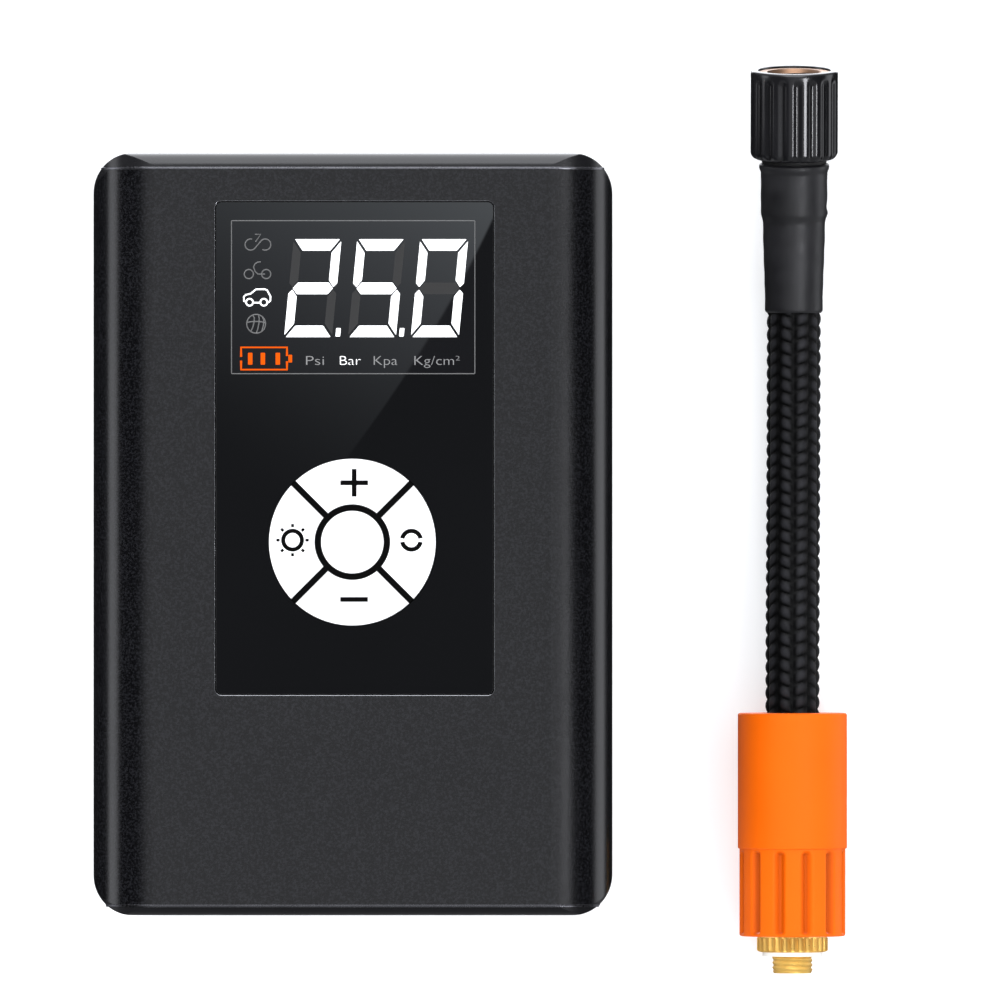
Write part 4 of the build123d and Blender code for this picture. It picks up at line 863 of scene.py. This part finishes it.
def segment_outlines():
    """The seven segments of one upright digit, in mm from its lower left corner."""
    w, h, mid = DIGIT_W, DIGIT_H, DIGIT_MID
    g, slope = SPLIT, BAR_T / POST_T
    top = [(g, h), (w - g, h), (w - POST_T - g, h - BAR_T), (POST_T + g, h - BAR_T)]
    bottom = [(x, h - y) for x, y in top]
    middle = [(0.45 * POST_T, mid), (POST_T, mid + 0.94), (w - POST_T, mid + 0.94), (w - 0.45 * POST_T, mid),
              (w - POST_T, mid - 0.94), (POST_T, mid - 0.94)]
    upper = [(0, h - g * slope), (POST_T, h - BAR_T - g * slope), (POST_T, mid + 1.31), (0.42 * POST_T, mid + 0.2),
             (0, mid + 0.82)]
    lower = [(x, 2 * mid - y) for x, y in upper]
    lower[0], lower[1] = (0, g * slope), (POST_T, BAR_T + g * slope)
    return {
        "a": top, "d": bottom, "g": middle, "f": upper, "e": lower,
        "b": [(w - x, y) for x, y in upper], "c": [(w - x, y) for x, y in lower],
    }


def rounded(outline, radius, count=3):
    """The same outline with its corners cut round."""
    points, n = [], len(outline)
    for i in range(n):
        before, corner, after = (Vector(outline[(i + k) % n]) for k in (-1, 0, 1))
        reach = min(radius, (before - corner).length / 2, (after - corner).length / 2)
        start = corner + (before - corner).normalized() * reach
        end = corner + (after - corner).normalized() * reach
        for j in range(count + 1):
            t = j / count
            points.append(tuple(start * (1 - t) ** 2 + corner * 2 * t * (1 - t) + end * t ** 2))
    return points


def lean(outline, left, bottom):
    return [(left + x + DIGIT_LEAN * y, bottom + y) for x, y in outline]


segments = segment_outlines()
lit, ghost = [], []
for left, names in DIGITS:
    for name, outline in segments.items():
        (lit if name in names else ghost).append(lean(rounded(outline, 0.12), left, DIGIT_BOTTOM))
POINT = [(0.06, 0), (0.80, 0), (0.80, 1.35), (0.06, 1.35)]
for left in (-2.79, 7.47):
    lit.append(lean(rounded(POINT, 0.1), left, POINT_BOTTOM))
WHITE_MARK = glow("mark_white", (0.93, 0.96, 1.0), 1.0, base=grey(0.6))
GHOST_MARK = glow("mark_ghost", grey(0.30, 1.1), 0.006, base=grey(0.012))
DIM_MARK = glow("mark_dim", (0.62, 0.63, 0.66), 0.085, base=grey(0.07))
WORD_MARK = glow("mark_word", (0.62, 0.63, 0.66), 0.19, base=grey(0.11))
ORANGE_MARK = glow("mark_orange", (1.0, 0.135, 0.005), 0.75, base=(0.2, 0.022, 0.001), mirror=0.0)
HOUSING = "housing"


def printed(obj):
    return obj


printed(prisms("digits_lit", lit, MARK_Z, LIT_Z, WHITE_MARK, HOUSING, 0.02))
printed(prisms("digits_ghost", ghost, MARK_Z, GHOST_Z, GHOST_MARK, HOUSING))
border = rounded([(-19.5, 25.89), (19.76, 25.89), (19.76, 50.57), (-19.5, 50.57)], 0.15, 2)
printed(line_art("display_frame", [(border, True)], 0.17, LINE_Z, DIM_MARK, HOUSING))

battery = [[(-17.95, 28.62), (-17.95, 30.14), (-10.55, 30.14), (-10.55, 28.75)],
           [(-17.95, 28.0), (-17.95, 26.55), (-10.55, 26.55), (-10.55, 27.9)]]
printed(line_art("battery_outline", [(half, False) for half in battery], 0.36, LINE_Z, ORANGE_MARK, HOUSING))
cells = [[(x, 27.35), (x + 0.72, 27.35), (x + 0.72, 29.27), (x, 29.27)] for x in (-16.84, -14.80, -12.39)]
cells.append([(-10.33, 27.7), (-9.72, 27.7), (-9.72, 28.95), (-10.33, 28.95)])
bars = [rounded(cell, 0.12) for cell in cells]
printed(prisms("battery_bars", bars, MARK_Z, LIT_Z, ORANGE_MARK, HOUSING, 0.02))


BASELINE, FONT_CAP = 27.3, 0.70                 # of the words in mm, and a capital's share of the font's size


def words(name, texts, height, material, thinner):
    """Generic unit words as raised print: (text, left, right) in mm each, their cap height in mm."""
    made = []
    for i, (text, left, right) in enumerate(texts):
        curve = bpy.data.curves.new(f"{name}_{i}", "FONT")
        curve.body = text
        curve.resolution_u = 6
        curve.extrude = 0.004
        curve.offset = -thinner
        holder = bpy.data.objects.new(f"{name}_{i}", curve)
        mesh = bpy.data.meshes.new_from_object(holder)
        bpy.data.objects.remove(holder)
        xs = [v.co.x for v in mesh.vertices]
        sx = (right - left) / (max(xs) - min(xs))
        sy = height / FONT_CAP
        for v in mesh.vertices:
            x, y = left + (v.co.x - min(xs)) * sx, BASELINE + v.co.y * sy
            v.co = (x * MM, y * MM, LINE_Z + v.co.z * MM * 4)
        made.append(mesh)
    joined = bmesh.new()
    for mesh in made:
        joined.from_mesh(mesh)
    data = bpy.data.meshes.new(name)
    joined.to_mesh(data)
    joined.free()
    data.materials.clear()
    data.materials.append(material)
    return printed(placed(name, data, HOUSING))


words("unit_lit", [("Bar", -2.0, 1.34)], 1.5, WHITE_MARK, 0.02)
words("units_dim", [("Psi", -7.48, -4.58), ("Kpa", 3.44, 7.26), ("Kg/cm²", 10.0, 17.32)], 1.5, WORD_MARK, 0.012)


def wheel(x, y, r):
    return (circle(x, y, r, 20), True)


bicycle = [
    (circle(-16.41, 46.72, 0.9, 22, 75, 240) + circle(-14.06, 46.72, 0.9, 22, 145, -265), False),
    ([(-15.72, 48.38), (-14.78, 48.38), (-15.63, 47.16)], False),
]
scooter = [
    wheel(-16.7, 41.96, 0.74), wheel(-13.9, 41.96, 0.74),
    ([(-14.78, 43.92), (-15.31, 43.89), (-15.75, 43.57), (-15.95, 43.13), (-15.7, 42.4), (-15.24, 41.96),
      (-14.1, 41.96)], False),
]
ball = [
    (circle(-15.52, 33.94, 1.52, 32), True),
    ([(-17.0, 34.15), (-16.2, 34.3), (-15.3, 34.32), (-14.6, 34.25), (-14.05, 34.1)], False),
    ([(-16.05, 35.36), (-15.82, 34.9), (-15.85, 34.26), (-16.05, 33.4), (-16.4, 32.72)], False),
    ([(-15.15, 35.42), (-15.02, 34.8), (-15.08, 34.0), (-15.25, 33.1), (-15.5, 32.42)], False),
    ([(-14.5, 35.05), (-14.3, 34.5), (-14.32, 33.8), (-14.6, 32.78)], False),
]
printed(line_art("icons_dim", bicycle + scooter + ball, 0.2, LINE_Z, DIM_MARK, HOUSING))
car = [
    ([(-17.1, 37.45), (-17.48, 37.6), (-17.52, 38.3), (-17.2, 38.62), (-16.4, 38.8), (-15.55, 39.5),
      (-14.1, 39.52), (-13.75, 39.35), (-13.2, 38.35), (-13.22, 37.7), (-13.5, 37.42), (-13.75, 37.4)], False),
    ([(-16.05, 37.35), (-14.8, 37.35)], False),
    wheel(-16.58, 37.42, 0.56), wheel(-14.28, 37.42, 0.56),
]
printed(line_art("icon_car", car, 0.27, LINE_Z, WHITE_MARK, HOUSING))

# marks on the keys
KEY_TOP_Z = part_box("key_plus")[1].z
INK = plastic("key_ink", grey(0.001), 0.5, change=0.1, Specular_IOR_Level=0.05)
INK_LOW, INK_HIGH = KEY_TOP_Z - 0.00002, KEY_TOP_Z + 0.00002


def ink(name, outlines, body):
    obj = prisms(name, outlines, INK_LOW, INK_HIGH, INK, body)
    return obj


def sector_ring(x, y, inner, outer, start, sweep, count=20):
    outside = circle(x, y, outer, count, start, sweep)
    inside = circle(x, y, inner, count, start, sweep)
    return outside + inside[::-1]


ARM, ARM_HALF = 4.47 / 2, 0.78 / 2
PLUS_AT, MINUS_AT, LIGHT_AT, MODE_AT = (0.29, 8.30), (0.27, -10.52), (-9.65, -0.96), (9.52, -0.96)
RAYS, RAY_FROM, RAY_TO, RAY_HALF = 8, 2.08, 2.62, 0.23


def cross(x, y):
    """A plus sign, drawn as one inner corner turned four times."""
    corner, points = [(-ARM, -ARM_HALF), (-ARM_HALF, -ARM_HALF), (-ARM_HALF, -ARM)], []
    for _ in range(4):
        points += [(x + a, y + b) for a, b in corner]
        corner = [(-b, a) for a, b in corner]
    return points


def bar(at, low, high, half, angle):
    """A rectangle from low to high along a direction, half wide to either side."""
    out = Vector((math.cos(angle), math.sin(angle)))
    side = Vector((-out.y, out.x))
    corners = ((low, -half), (high, -half), (high, half), (low, half))
    return [tuple(Vector(at) + out * r + side * s) for r, s in corners]


ink("mark_plus", [rounded(cross(*PLUS_AT), 0.04, 2)], "plus_button")
ink("mark_minus", [bar(MINUS_AT, -ARM, ARM, ARM_HALF, 0.0)], "minus_button")
ring = [sector_ring(*LIGHT_AT, 1.17, 1.85, start, 180) for start in (0, 180)]
rays = [bar(LIGHT_AT, RAY_FROM, RAY_TO, RAY_HALF, math.tau * k / RAYS) for k in range(RAYS)]
ink("mark_light", ring + rays, "light_button")
ink("mark_mode", [sector_ring(*MODE_AT, 1.14, 1.86, start, 158) for start in (11, 191)], "mode_button")

# bright chamfer line round the front panel, with the dark joint inside it
PANEL_LOW, PANEL_HIGH = (Vector((c.x, c.y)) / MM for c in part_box("front_panel"))
PANEL_FACE_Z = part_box("front_panel")[1].z


def frame_line(outset, radius):
    """Rounded rectangle round the panel, in mm."""
    x0, y0 = PANEL_LOW - Vector((outset, outset))
    x1, y1 = PANEL_HIGH + Vector((outset, outset))
    points = []
    for cx, cy, start in ((x1 - radius, y1 - radius, 0), (x0 + radius, y1 - radius, 90),
                          (x0 + radius, y0 + radius, 180), (x1 - radius, y0 + radius, 270)):
        points += circle(cx, cy, radius, 9, start, 90)
    return points


trim_metal = metal("trim_edge", (0.34, 0.345, 0.36), 0.3, scale=3000.0)
trim = line_art("panel_trim", [(frame_line(0.10, 1.1), True)], 0.17, PANEL_FACE_Z - 0.00002, trim_metal, HOUSING)
joint = line_art("panel_joint", [(frame_line(-0.17, 0.95), True)], 0.16, PANEL_FACE_Z - 0.00007,
                 rubber("joint_black", grey(0.0015), 0.7), HOUSING)


# bright cut edge of the sleeve at both caps; the lower one has a darker metal, painted shade
BODY_CORNER, CORNER_STEPS = 10.0, 12            # radius of the body's long corners in mm, and its steps
EDGE_SIDES, EDGE_FLAT, EDGE_LOWEST = 8, 0.6, 0.01


def seam_edge(name, y, half_width, size, tone):
    """A thin ridge round the body's cross-section at this height, all in mm."""
    low, high = (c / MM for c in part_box("body_sleeve"))
    centre_x, centre_z = high.x - BODY_CORNER, high.z - BODY_CORNER
    reach = math.acos((half_width - centre_x) / BODY_CORNER)
    quarter = [reach + (math.pi / 2 - reach) * i / CORNER_STEPS for i in range(CORNER_STEPS + 1)]
    right = [(centre_x + BODY_CORNER * math.cos(a), centre_z + BODY_CORNER * math.sin(a)) for a in quarter]
    top = right + [(-x, z) for x, z in reversed(right)]
    outline = top + [(x, low.z + high.z - z) for x, z in reversed(top)]
    verts, count = [], len(outline)
    for i, (x, z) in enumerate(outline):
        before, after = outline[i - 1], outline[(i + 1) % count]
        along = Vector((after[0] - before[0], 0.0, after[1] - before[1])).normalized()
        out = Vector((along.z, 0.0, -along.x)) * EDGE_FLAT
        for j in range(EDGE_SIDES):
            a = math.tau * j / EDGE_SIDES
            point = Vector((x, y, z)) + (out * math.cos(a) + Vector((0, math.sin(a), 0))) * size
            point.z = max(point.z, low.z + EDGE_LOWEST)
            verts.append(point * MM)
    edge_metal = metal(name, grey(tone, 1.08), 0.3, scale=3000.0)
    return piece(name, verts, bands(count, EDGE_SIDES, True), edge_metal, HOUSING)


# painted shade: the same cut edge gets a darker metal at the bottom than at the top
seam_edge("sleeve_edge_top", 59.06, 40.55, 0.22, 0.19)
seam_edge("sleeve_edge_bottom", -59.97, 39.72, 0.24, 0.085)
